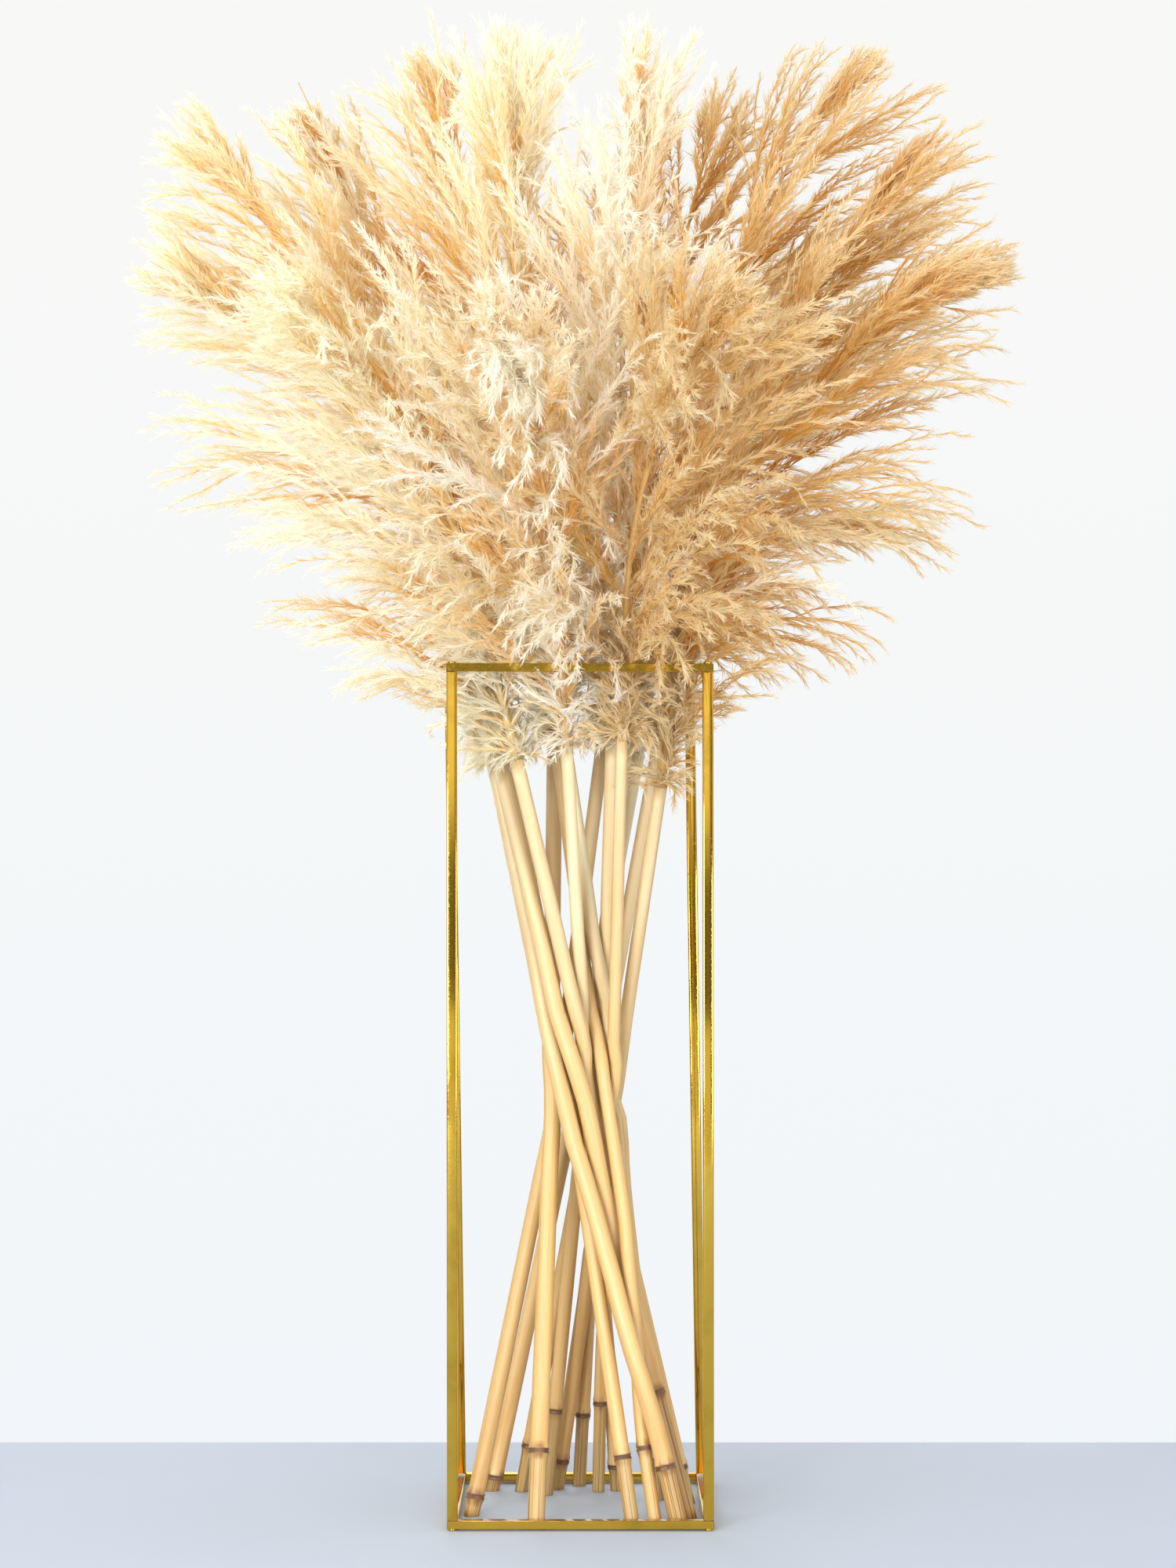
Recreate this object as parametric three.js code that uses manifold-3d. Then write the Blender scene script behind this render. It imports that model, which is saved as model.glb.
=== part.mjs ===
// A bunch of fifteen dried pampas grass stems, standing in an open stand of square metal tube.
//
// Units are millimetres, +Z is up. The origin is on the floor, under the middle of the stand, and the
// front of the stand faces -Y. The feet of the stems stand on the floor inside the bottom ring, the stems
// cross at a waist, and their heads lean out against the top ring, as in a spiral-tied bunch.
import * as THREE from "three";
import { mergeVertices } from "three/addons/utils/BufferGeometryUtils.js";
import Module from "manifold-3d";

const wasm = await Module();
wasm.setup();

// ---------------------------------------------------------------- driving dimensions
const STAND_WIDTH = 250; // outside, left to right
const STAND_DEPTH = 250; // outside, front to back
const STAND_HEIGHT = 812; // floor to the top face of the top ring
const RING_TUBE_WIDTH = 10; // seen from above
const RING_TUBE_HEIGHT = 8; // seen from the front
const POST_TUBE = 10; // side of a post's square tube
const TUBE_CORNER_RADIUS = 1.4;
// The stems lean on the top ring and have turned it and pushed it sideways.
const TOP_RING_TURN = 2.6; // degrees, anticlockwise from above
const TOP_RING_SHIFT = new THREE.Vector2(-6, 0);

const SCREW_HEAD_RADIUS = 4.2;
const SCREW_HEAD_HEIGHT = 1.5;
const SCREW_SHANK_RADIUS = 2;
const SCREW_GRIP = 12; // how far a screw goes into its post
const SCREW_CLEARANCE = 0.3;
const SCREW_SIDES = 10;
const DRILL_OVERSHOOT = 1; // how far a drilled hole runs past what it has to clear
const SEAT_GAP = 0.3; // between pieces that bear on each other

const WAIST_HEIGHT = 385; // where the stems cross
const WAIST_OFFSET = new THREE.Vector2(14, 0); // of the crossing from the stand's axis
const STEM_TAPER = 0.86; // a stem's radius at its head, as a share of its radius at the foot
const STEM_GAP = 0.7; // clear space between neighbouring stems
const CROSSING_GAP = 5; // extra clear space where two stems cross, for each unit of slant between them
const NODE_SWELL = 1.12; // how far a stem swells at its joint
const PLUME_RADIUS = 118; // of a plume at its fullest, where its neighbours leave room
const PLUME_BASE_RADIUS = 11;
const PLUME_TIP_RADIUS = 9;
const PLUME_GAP = 1.6; // clear space round a plume

// One row for each plant. Each place starts with its angle round the stand's axis, 0 at the right and 90
// at the back.
// foot: where the stem stands, as a share of the way out to the ring's inner side
// radius: the stem's, at its foot
// joint: the height of the stem's lowest joint
// head: where the stem ends and its plume starts: the same share, and how far below the top ring
// tip: the end of the plume: how far from the stand's axis, and how far above the top ring
const PLANTS = [
  { foot: [-155, 1.01], radius: 8.0, joint: 18, head: [72, 0.52, 70], tip: [58, 271, 598] },
  { foot: [138, 1.03], radius: 8.0, joint: 14, head: [52, 0.77, 84], tip: [45, 372, 448] },
  { foot: [128, 0.83], radius: 7.4, joint: 46, head: [14, 0.78, 76], tip: [2, 340, 513] },
  { foot: [-113, 0.94], radius: 8.9, joint: 68, head: [108, 0.77, 74], tip: [100, 381, 438] },
  { foot: [121, 0.57], radius: 7.0, joint: 84, head: [30, 0.47, 67], tip: [20, 294, 618] },
  { foot: [105, 0.79], radius: 7.3, joint: 30, head: [-30, 0.77, 116], tip: [-24, 431, 368] },
  { foot: [91, 0.92], radius: 7.0, joint: 74, head: [-52, 0.40, 74], tip: [-69, 139, 586] },
  { foot: [77, 0.66], radius: 6.6, joint: 92, head: [-64, 0.77, 72], tip: [-69, 386, 318] },
  { foot: [66, 0.76], radius: 7.0, joint: 26, head: [-98, 0.77, 77], tip: [-102, 388, 308] },
  { foot: [-61, 0.97], radius: 7.6, joint: 62, head: [146, 0.78, 84], tip: [143, 364, 608] },
  { foot: [-56, 1.02], radius: 7.0, joint: 70, head: [124, 0.43, 60], tip: [143, 202, 624] },
  { foot: [-46, 1.16], radius: 9.0, joint: 54, head: [170, 0.79, 90], tip: [174, 404, 538] },
  { foot: [22, 0.70], radius: 7.4, joint: 40, head: [-128, 0.30, 47], tip: [-170, 62, 613] },
  { foot: [8, 0.91], radius: 8.0, joint: 36, head: [-136, 0.75, 90], tip: [-130, 409, 338] },
  { foot: [-30, 1.03], radius: 9.0, joint: 118, head: [-166, 0.80, 96], tip: [-165, 418, 378] },
];

// ---------------------------------------------------------------- worked out from them
const HEAD_CLEARANCE = SCREW_HEAD_HEIGHT + SEAT_GAP;
const BOTTOM_RING_Z = HEAD_CLEARANCE; // the bottom ring stands on its four screw heads
const TOP_RING_Z = STAND_HEIGHT - RING_TUBE_HEIGHT;
const POST_BOTTOM = BOTTOM_RING_Z + RING_TUBE_HEIGHT + SEAT_GAP;
const POST_TOP = TOP_RING_Z - SEAT_GAP;
const CORNER_X = STAND_WIDTH / 2 - RING_TUBE_WIDTH / 2;
const CORNER_Y = STAND_DEPTH / 2 - RING_TUBE_WIDTH / 2;
const WIDEST_TUBE = Math.max(RING_TUBE_WIDTH, POST_TUBE);
const INNER_X = CORNER_X - WIDEST_TUBE / 2; // from the stand's axis to the inner faces of its tubes
const INNER_Y = CORNER_Y - WIDEST_TUBE / 2;
const TURN = THREE.MathUtils.degToRad(TOP_RING_TURN);
const UP = new THREE.Vector3(0, 0, 1);

// A point of the stand as it stands straight, moved to where the turned top ring has it.
const withTopRing = (point) =>
  point.applyAxisAngle(UP, TURN).add(new THREE.Vector3(TOP_RING_SHIFT.x, TOP_RING_SHIFT.y, 0));

// A point at an angle and a distance from the stand's axis.
function polar(degrees, distance) {
  const a = THREE.MathUtils.degToRad(degrees);
  return new THREE.Vector2(distance * Math.cos(a), distance * Math.sin(a));
}

// The same, where a distance of 1 reaches the inner side of the ring.
const insideRing = (degrees, share) =>
  polar(degrees, share).multiply(new THREE.Vector2(INNER_X, INNER_Y));

const headHeight = (plant) => STAND_HEIGHT - plant.head[2];
const tipHeight = (plant) => STAND_HEIGHT + plant.tip[2];

// ---------------------------------------------------------------- materials
const finish = (color, roughness, metalness = 0) =>
  new THREE.MeshStandardMaterial({ color, roughness, metalness });
const brassPlate = finish(0xc9a227, 0.25, 1);
const screwSteel = finish(0xb8923a, 0.35, 1);
const driedCane = finish(0xe3c78d, 0.6);
const driedPlume = finish(0xecd6ae, 0.95);

// ---------------------------------------------------------------- solids
// A closed geometry as a manifold-3d solid, and back again.
function toSolid(geometry) {
  const bare = geometry.index ? geometry.toNonIndexed() : geometry.clone();
  bare.deleteAttribute("normal");
  bare.deleteAttribute("uv");
  const merged = mergeVertices(bare, 1e-4);
  return new wasm.Manifold(
    new wasm.Mesh({
      numProp: 3,
      vertProperties: merged.attributes.position.array,
      triVerts: new Uint32Array(merged.index.array),
    }),
  );
}

function toGeometry(solid) {
  const mesh = solid.getMesh();
  return new THREE.BufferGeometry()
    .setAttribute("position", new THREE.BufferAttribute(mesh.vertProperties, 3))
    .setIndex(new THREE.BufferAttribute(mesh.triVerts, 1));
}

// Cuts upright screw holes, each from one height to another.
function drill(geometry, holes) {
  const radius = SCREW_SHANK_RADIUS + SCREW_CLEARANCE;
  let solid = toSolid(geometry);
  for (const { x, y, from, to } of holes) {
    const drillBit = new THREE.CylinderGeometry(radius, radius, to - from, SCREW_SIDES);
    drillBit.rotateX(Math.PI / 2).translate(x, y, (from + to) / 2);
    solid = solid.subtract(toSolid(drillBit));
  }
  return toGeometry(solid);
}

// ---------------------------------------------------------------- the stand
// One mitred bar of a ring, lying on z = 0, with a half hole for a screw at each mitre.
function ringBar(length, depth) {
  const half = length / 2 - SEAT_GAP / Math.SQRT2;
  const edge = depth / 2;
  const bar = new THREE.Shape([
    new THREE.Vector2(-half, -edge),
    new THREE.Vector2(half, -edge),
    new THREE.Vector2(half - RING_TUBE_WIDTH, -edge + RING_TUBE_WIDTH),
    new THREE.Vector2(-half + RING_TUBE_WIDTH, -edge + RING_TUBE_WIDTH),
  ]);
  const solid = new THREE.ExtrudeGeometry(bar, {
    depth: RING_TUBE_HEIGHT,
    bevelEnabled: false,
  });
  const screwX = length / 2 - RING_TUBE_WIDTH / 2;
  const y = -edge + RING_TUBE_WIDTH / 2;
  const from = -DRILL_OVERSHOOT;
  const to = RING_TUBE_HEIGHT + DRILL_OVERSHOOT;
  return drill(solid, [-screwX, screwX].map((x) => ({ x, y, from, to })));
}

function ring(level) {
  const group = new THREE.Group();
  const sides = [
    ["front", STAND_WIDTH, STAND_DEPTH, 0],
    ["right", STAND_DEPTH, STAND_WIDTH, 1],
    ["back", STAND_WIDTH, STAND_DEPTH, 2],
    ["left", STAND_DEPTH, STAND_WIDTH, 3],
  ];
  for (const [side, length, across, quarterTurns] of sides) {
    const bar = new THREE.Mesh(ringBar(length, across), brassPlate);
    bar.name = `${level}_ring_${side}_bar`;
    bar.rotation.z = (quarterTurns * Math.PI) / 2;
    group.add(bar);
  }
  return group;
}

function roundedSquare(side, radius) {
  const h = side / 2;
  const shape = new THREE.Shape();
  shape.moveTo(-h + radius, -h);
  shape.lineTo(h - radius, -h);
  shape.absarc(h - radius, -h + radius, radius, -Math.PI / 2, 0);
  shape.absarc(h - radius, h - radius, radius, 0, Math.PI / 2);
  shape.absarc(-h + radius, h - radius, radius, Math.PI / 2, Math.PI);
  shape.absarc(-h + radius, -h + radius, radius, Math.PI, 1.5 * Math.PI);
  return shape;
}

// A post runs from its corner of the bottom ring to the same corner of the turned top ring.
function post(cornerX, cornerY) {
  const tube = new THREE.ExtrudeGeometry(roundedSquare(POST_TUBE, TUBE_CORNER_RADIUS), {
    depth: POST_TOP - POST_BOTTOM,
    bevelEnabled: false,
    curveSegments: 2,
  });
  tube.translate(cornerX, cornerY, POST_BOTTOM);
  const points = tube.attributes.position;
  const p = new THREE.Vector3();
  const middle = (POST_TOP + POST_BOTTOM) / 2;
  for (let i = 0; i < points.count; i++) {
    p.fromBufferAttribute(points, i);
    if (p.z > middle) withTopRing(p);
    points.setXYZ(i, p.x, p.y, p.z);
  }
  const top = withTopRing(new THREE.Vector3(cornerX, cornerY, 0));
  const deep = SCREW_GRIP + DRILL_OVERSHOOT;
  return drill(tube, [
    { x: cornerX, y: cornerY, from: POST_BOTTOM - DRILL_OVERSHOOT, to: POST_BOTTOM + deep },
    { x: top.x, y: top.y, from: POST_TOP - deep, to: POST_TOP + DRILL_OVERSHOOT },
  ]);
}

// A low pan-head screw, its head's underside at z = 0 and its shank pointing down.
function screw() {
  const length = RING_TUBE_HEIGHT + SEAT_GAP + SCREW_GRIP;
  const profile = [
    [0, -length],
    [SCREW_SHANK_RADIUS, -length],
    [SCREW_SHANK_RADIUS, 0],
    [SCREW_HEAD_RADIUS, 0],
    [SCREW_HEAD_RADIUS * 0.94, SCREW_HEAD_HEIGHT * 0.7],
    [SCREW_HEAD_RADIUS * 0.7, SCREW_HEAD_HEIGHT],
    [0, SCREW_HEAD_HEIGHT],
  ].map(([x, y]) => new THREE.Vector2(x, y));
  return new THREE.LatheGeometry(profile, SCREW_SIDES).rotateX(Math.PI / 2);
}

function stand() {
  const group = new THREE.Group();
  const bottom = ring("bottom");
  const top = ring("top");
  bottom.position.z = BOTTOM_RING_Z;
  top.position.set(TOP_RING_SHIFT.x, TOP_RING_SHIFT.y, TOP_RING_Z);
  top.rotation.z = TURN;
  group.add(bottom, top);
  const corners = [
    ["front_left", -CORNER_X, -CORNER_Y],
    ["front_right", CORNER_X, -CORNER_Y],
    ["back_right", CORNER_X, CORNER_Y],
    ["back_left", -CORNER_X, CORNER_Y],
  ];
  for (const [corner, x, y] of corners) {
    const upright = new THREE.Mesh(post(x, y), brassPlate);
    upright.name = `post_${corner}`;
    group.add(upright);
    const topScrew = new THREE.Mesh(screw(), screwSteel);
    topScrew.name = `screw_top_${corner}`;
    topScrew.position.set(x, y, RING_TUBE_HEIGHT + SEAT_GAP);
    top.add(topScrew);
    const bottomScrew = new THREE.Mesh(screw(), screwSteel);
    bottomScrew.name = `screw_bottom_${corner}`;
    bottomScrew.position.set(x, y, -SEAT_GAP);
    bottomScrew.rotation.x = Math.PI;
    bottom.add(bottomScrew);
  }
  return group;
}

// ---------------------------------------------------------------- how the stems lie
const LEVELS = 80; // heights at which the stems are followed while they settle
const PULL_IN = 0.05; // how hard the bunch is gathered at its waist
const HEAD_HOLD = 0.2; // how hard a plant is drawn back to where it should pass the top ring
const GATHERED_HEIGHT = 45; // half the height of the gathered stretch
const STIFFNESS = 0.45; // how strongly a stem keeps straight
const STIFF_REACH = [10, 4, 1]; // levels over which it does
const SETTLING_STEPS = 500;
const SPREADING_STEPS = 120;
const SLANT_ALLOWANCE = 1.1; // a slanting stem is wider across than its radius

const RING_PASS = 25; // how far above the top ring the plumes are free to bend over
const TOP_LEVEL = STAND_HEIGHT + RING_PASS;
const levelHeight = (k) => (k / LEVELS) * TOP_LEVEL;
const stemRadius = (plant, z) =>
  plant.radius * THREE.MathUtils.lerp(1, STEM_TAPER, Math.min(1, z / headHeight(plant)));

// The radius that a plant takes up at height z: its stem's, or that of the foot of its plume.
const takenRadius = (plant, z) =>
  z < headHeight(plant) ? stemRadius(plant, z) + STEM_GAP / 2 : PLUME_BASE_RADIUS + PLUME_GAP / 2;

// Keeps a centre at height z inside the stand's inner faces, which turn with the top ring.
function keepInside(p, z, room) {
  const share = z / STAND_HEIGHT;
  const origin = new THREE.Vector2(0, 0);
  p.addScaledVector(TOP_RING_SHIFT, -share).rotateAround(origin, -TURN * share);
  p.x = THREE.MathUtils.clamp(p.x, room - INNER_X, INNER_X - room);
  p.y = THREE.MathUtils.clamp(p.y, room - INNER_Y, INNER_Y - room);
  p.rotateAround(origin, TURN * share).addScaledVector(TOP_RING_SHIFT, share);
}

// How fast two plants' centres part sideways at a level, for each unit of height.
function slantBetween(p, q, k) {
  const below = Math.max(0, k - 1);
  const above = Math.min(LEVELS, k + 1);
  const before = q[below].clone().sub(p[below]);
  const after = q[above].clone().sub(p[above]);
  return after.distanceTo(before) / (levelHeight(above) - levelHeight(below));
}

// Moves the plants' centres at one level apart until none touch, inside the stand's posts.
function spreadLevel(paths, k) {
  const z = levelHeight(k);
  const room = PLANTS.map((plant) => takenRadius(plant, z) * SLANT_ALLOWANCE);
  const apart = new THREE.Vector2();
  for (let i = 0; i < paths.length; i++) {
    const p = paths[i][k];
    for (let j = i + 1; j < paths.length; j++) {
      const q = paths[j][k];
      const distance = p.distanceTo(q);
      let missing = room[i] + room[j] - distance;
      if (missing < -CROSSING_GAP) continue;
      missing += CROSSING_GAP * slantBetween(paths[i], paths[j], k);
      if (missing <= 0) continue;
      apart.subVectors(q, p).multiplyScalar(missing / 2 / Math.max(distance, 1e-6));
      p.sub(apart);
      q.add(apart);
    }
    keepInside(p, z, room[i] + PLUME_GAP);
  }
}

// Each stem keeps as straight as it can: a point moves towards the middle of two others of its stem.
function straighten(path, reach) {
  const before = path.map((p) => p.clone());
  for (let k = 1; k < LEVELS; k++) {
    const span = Math.min(reach, k, LEVELS - k);
    const middle = before[k - span].clone().add(before[k + span]).multiplyScalar(0.5);
    path[k].lerp(middle, STIFFNESS);
  }
}

// Each stem starts as a straight line from foot to head. The bunch is then gathered at the waist, while
// stems that come too close push each other apart.
function settledStems() {
  const paths = PLANTS.map((plant) => {
    const foot = insideRing(...plant.foot);
    const head = insideRing(plant.head[0], plant.head[1]);
    const slope = head.clone().sub(foot).divideScalar(headHeight(plant));
    return Array.from({ length: LEVELS + 1 }, (_, k) =>
      foot.clone().addScaledVector(slope, levelHeight(k)),
    );
  });
  const held = paths.map((path) => [path[0].clone(), path[LEVELS].clone()]);
  for (let step = 0; step < SETTLING_STEPS; step++) {
    for (const path of paths) for (const reach of STIFF_REACH) straighten(path, reach);
    for (let k = 0; k <= LEVELS; k++) {
      const closeness = Math.exp(-(((levelHeight(k) - WAIST_HEIGHT) / GATHERED_HEIGHT) ** 2));
      for (const path of paths) path[k].lerp(WAIST_OFFSET, PULL_IN * closeness);
    }
    paths.forEach((path, i) => {
      path[0].copy(held[i][0]);
      path[LEVELS].lerp(held[i][1], HEAD_HOLD);
    });
    for (let k = 0; k <= LEVELS; k++) spreadLevel(paths, k);
  }
  for (let step = 0; step < SPREADING_STEPS; step++)
    for (let k = 0; k <= LEVELS; k++) spreadLevel(paths, k);
  return paths;
}

// A point on a settled stem at height z.
function onPath(path, z) {
  const at = (z / TOP_LEVEL) * LEVELS;
  const k = Math.min(LEVELS - 1, Math.floor(at));
  const p = path[k].clone().lerp(path[k + 1], at - k);
  return new THREE.Vector3(p.x, p.y, z);
}

// ---------------------------------------------------------------- bending a turned shape along a curve
// A lathed geometry whose profile heights are station numbers, laid along a line of points: its axis goes
// through the points, and each of its rings stands square to the direction given for its point.
function bendAlong(lathe, points, directions) {
  const normals = [];
  const sides = [];
  let normal = new THREE.Vector3(1, 0, 0);
  for (const direction of directions) {
    normal = normal.clone().addScaledVector(direction, -normal.dot(direction)).normalize();
    normals.push(normal);
    sides.push(new THREE.Vector3().crossVectors(normal, direction));
  }
  const vertices = lathe.attributes.position;
  const p = new THREE.Vector3();
  for (let i = 0; i < vertices.count; i++) {
    const k = Math.round(vertices.getY(i));
    p.copy(points[k])
      .addScaledVector(normals[k], vertices.getX(i))
      .addScaledVector(sides[k], vertices.getZ(i));
    vertices.setXYZ(i, p.x, p.y, p.z);
  }
  return lathe;
}

// The directions of a line of points, with the last one given.
function directionsOf(points, last) {
  return points.map((p, k) => {
    if (k === points.length - 1) return last;
    return points[k + 1].clone().sub(points[Math.max(0, k - 1)]).normalize();
  });
}

const turnedSolid = (radii, sides, points, directions) => {
  const profile = radii.map((radius, k) => new THREE.Vector2(radius, k));
  const closed = [new THREE.Vector2(0, 0), ...profile, new THREE.Vector2(0, radii.length - 1)];
  return bendAlong(new THREE.LatheGeometry(closed, sides), points, directions);
};

// ---------------------------------------------------------------- the stems
const STEM_SIDES = 8;
const STEM_STATIONS = 20;
const JOINT_HALF = 7; // half the length of the swelling at a joint
const HEAD_LENGTH = 50; // the stretch below the plume that sets the way its stem points

const headPoint = (plant, path) => onPath(path, headHeight(plant));
const headDirection = (plant, path) =>
  headPoint(plant, path).sub(onPath(path, headHeight(plant) - HEAD_LENGTH)).normalize();

function stemMesh(plant, path, number) {
  const above = plant.joint + JOINT_HALF;
  const heights = [0, plant.joint - JOINT_HALF, plant.joint, above];
  for (let k = 1; k <= STEM_STATIONS; k++)
    heights.push(above + ((headHeight(plant) - above) * k) / STEM_STATIONS);
  const points = heights.map((z) => onPath(path, z));
  const radii = heights.map((z, k) => stemRadius(plant, z) * (k === 2 ? NODE_SWELL : 1));
  const directions = directionsOf(points, headDirection(plant, path));
  directions[0] = UP; // the foot is cut level
  const geometry = turnedSolid(radii, STEM_SIDES, points, directions);
  const mesh = new THREE.Mesh(geometry, driedCane);
  mesh.name = `stem_${number}`;
  return mesh;
}

// ---------------------------------------------------------------- the plumes
const PLUME_SIDES = 10;
const PLUME_STATIONS = 14;
const STATION_CROWDING = 1.35; // the stations stand closer together near the stem
const PLUME_SAMPLES = 84; // points at which a plume's room is measured
const PLUME_RISE = 0.5; // how far a plume carries on straight past the ring, as a share of its length
const BEND_POINTS = 8; // along the stretch that bends over
const NEAR_HEAD = [0.6, 0.8, 0.9, 1]; // heights on a stem, as shares of its head's, that plumes come near

// A plume carries on from its stem until it is past the top ring, then bends over towards its tip.
function plumeAxis(plant, path) {
  const start = headPoint(plant, path).addScaledVector(headDirection(plant, path), SEAT_GAP);
  const points = [start];
  for (let k = 0; k < LEVELS; k++)
    if (levelHeight(k) > start.z + SEAT_GAP) points.push(onPath(path, levelHeight(k)));
  const past = onPath(path, TOP_LEVEL);
  const direction = past.clone().sub(onPath(path, TOP_LEVEL - HEAD_LENGTH)).normalize();
  const tipAcross = polar(plant.tip[0], plant.tip[1]);
  const tip = new THREE.Vector3(tipAcross.x, tipAcross.y, tipHeight(plant));
  const rise = past.clone().addScaledVector(direction, PLUME_RISE * past.distanceTo(tip));
  points.push(...new THREE.QuadraticBezierCurve3(past, rise, tip).getPoints(BEND_POINTS));
  return new THREE.CatmullRomCurve3(points);
}

const alongStation = (station) => (station / PLUME_STATIONS) ** STATION_CROWDING;

// How fat a plume would be, alone: slim where it leaves the stem, fullest a little past its middle.
function fullness(along) {
  const swell = Math.sin(Math.PI * Math.min(along, 0.999) ** 1.15);
  const slimmest = THREE.MathUtils.lerp(PLUME_BASE_RADIUS, PLUME_TIP_RADIUS, along);
  return slimmest + PLUME_RADIUS * swell ** 0.7;
}

function toSegment(p, a, b) {
  const nearest = new THREE.Line3(a, b).closestPointToPoint(p, true, new THREE.Vector3());
  return nearest.distanceTo(p);
}

// How far a point is from the nearest bar of the stand's top ring, or from a post.
function toStand(point) {
  const ringZ = STAND_HEIGHT - RING_TUBE_HEIGHT / 2;
  const feet = [
    new THREE.Vector3(-CORNER_X, -CORNER_Y, 0),
    new THREE.Vector3(CORNER_X, -CORNER_Y, 0),
    new THREE.Vector3(CORNER_X, CORNER_Y, 0),
    new THREE.Vector3(-CORNER_X, CORNER_Y, 0),
  ];
  const corners = feet.map((foot) => withTopRing(foot.clone()).setZ(ringZ));
  const distances = corners.map((corner, i) => {
    const toBar = toSegment(point, corner, corners[(i + 1) % corners.length]);
    return Math.min(toBar, toSegment(point, corner, feet[i]));
  });
  return Math.min(...distances) - WIDEST_TUBE * Math.SQRT1_2;
}

// The radius that a plume can have at each of its samples without touching anything else.
function plumeRoom(index, sampled, paths) {
  const neighbours = PLANTS.map((_, j) => j).filter((j) => j !== index);
  const nearest = (point, others) => Math.min(...others.map((q) => q.distanceTo(point)));
  return sampled[index].map((point) => {
    let room = toStand(point) - PLUME_GAP;
    for (const j of neighbours) {
      const top = headHeight(PLANTS[j]);
      const stem = NEAR_HEAD.map((share) => onPath(paths[j], top * share));
      for (let s = 1; s < stem.length; s++) {
        const toStem = toSegment(point, stem[s - 1], stem[s]) - PLANTS[j].radius;
        room = Math.min(room, toStem - PLUME_GAP);
      }
      room = Math.min(room, (nearest(point, sampled[j]) - PLUME_GAP) / 2);
    }
    return room;
  });
}

function plumeMesh(axis, stemDirection, room, number) {
  const stations = Array.from({ length: PLUME_STATIONS + 1 }, (_, k) => k);
  const points = stations.map((k) => axis.getPointAt(alongStation(k)));
  const directions = stations.map((k) => axis.getTangentAt(alongStation(k)));
  directions[0] = stemDirection;
  // A ring is as slim as the tightest place between its two neighbours, so no cone between two rings
  // bulges past the room it has.
  const radii = stations.map((k) => {
    const from = Math.floor(alongStation(Math.max(0, k - 1)) * PLUME_SAMPLES);
    const to = Math.ceil(alongStation(Math.min(PLUME_STATIONS, k + 1)) * PLUME_SAMPLES);
    return Math.min(fullness(alongStation(k)), ...room.slice(from, to + 1));
  });
  const mesh = new THREE.Mesh(turnedSolid(radii, PLUME_SIDES, points, directions), driedPlume);
  mesh.name = `plume_${number}`;
  return mesh;
}

// ---------------------------------------------------------------- the whole bunch
function bunch() {
  const group = new THREE.Group();
  const paths = settledStems();
  const axes = PLANTS.map((plant, i) => plumeAxis(plant, paths[i]));
  const sampled = axes.map((axis) => axis.getSpacedPoints(PLUME_SAMPLES));
  PLANTS.forEach((plant, i) => {
    const number = String(i + 1).padStart(2, "0");
    group.add(stemMesh(plant, paths[i], number));
    const stemDirection = headDirection(plant, paths[i]);
    group.add(plumeMesh(axes[i], stemDirection, plumeRoom(i, sampled, paths), number));
  });
  return group;
}

const pampasInStand = new THREE.Group();
pampasInStand.add(stand(), bunch());
export default pampasInStand;
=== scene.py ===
"""A bundle of dried pampas grass in an open gold stand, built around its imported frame."""

import math
from collections import namedtuple

import bmesh
import bpy
import numpy as np
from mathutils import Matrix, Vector


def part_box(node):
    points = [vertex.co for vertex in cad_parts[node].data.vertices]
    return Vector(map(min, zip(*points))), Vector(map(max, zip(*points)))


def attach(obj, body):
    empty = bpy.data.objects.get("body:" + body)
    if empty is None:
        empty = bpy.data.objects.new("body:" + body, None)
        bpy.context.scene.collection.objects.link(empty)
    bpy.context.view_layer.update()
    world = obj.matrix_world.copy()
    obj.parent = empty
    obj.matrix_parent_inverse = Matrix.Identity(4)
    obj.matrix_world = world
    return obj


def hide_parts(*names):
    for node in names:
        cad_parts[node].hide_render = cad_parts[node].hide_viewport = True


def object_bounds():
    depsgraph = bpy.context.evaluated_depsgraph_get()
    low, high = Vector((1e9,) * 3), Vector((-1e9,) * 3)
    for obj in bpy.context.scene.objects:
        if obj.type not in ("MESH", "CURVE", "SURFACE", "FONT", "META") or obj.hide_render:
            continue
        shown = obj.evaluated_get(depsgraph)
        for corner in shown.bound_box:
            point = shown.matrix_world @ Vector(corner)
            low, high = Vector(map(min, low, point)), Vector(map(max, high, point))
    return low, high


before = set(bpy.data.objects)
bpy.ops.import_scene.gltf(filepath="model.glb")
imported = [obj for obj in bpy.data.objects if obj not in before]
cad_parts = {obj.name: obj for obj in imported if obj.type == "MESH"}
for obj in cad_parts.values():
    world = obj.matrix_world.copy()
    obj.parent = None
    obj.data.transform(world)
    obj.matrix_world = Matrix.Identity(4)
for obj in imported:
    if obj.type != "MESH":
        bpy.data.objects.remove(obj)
cad_low, cad_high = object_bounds()

bl_info = {
    "name": "Pampas bundle in a gold stand",
    "version": (1, 0, 0),
    "blender": (4, 5, 0),
    "location": "3D View > Sidebar > Pampas",
    "description": "Makes fifteen dried pampas stems standing in an open gold stand",
    "category": "Object",
}

BODY = "root"
PLANT_COUNT = 15
UP = Vector((0.0, 0.0, 1.0))
HEART = Vector((0.0, 0.0, 0.84))  # where the plumes part from each other, just over the top ring
PROUD_SHARE = 0.027  # how far soft tips may stand out of the frame's box, as a share of its size
PROUD_EXTRA = 0.009  # and this much more, in metres
HAIR_ROOM = 0.017  # room for the hairs past a branch's end
PLUME_MAP = "OFBake"  # the plume's own map: shade across, root to tip upwards


# ---- sizes and colours


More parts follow.
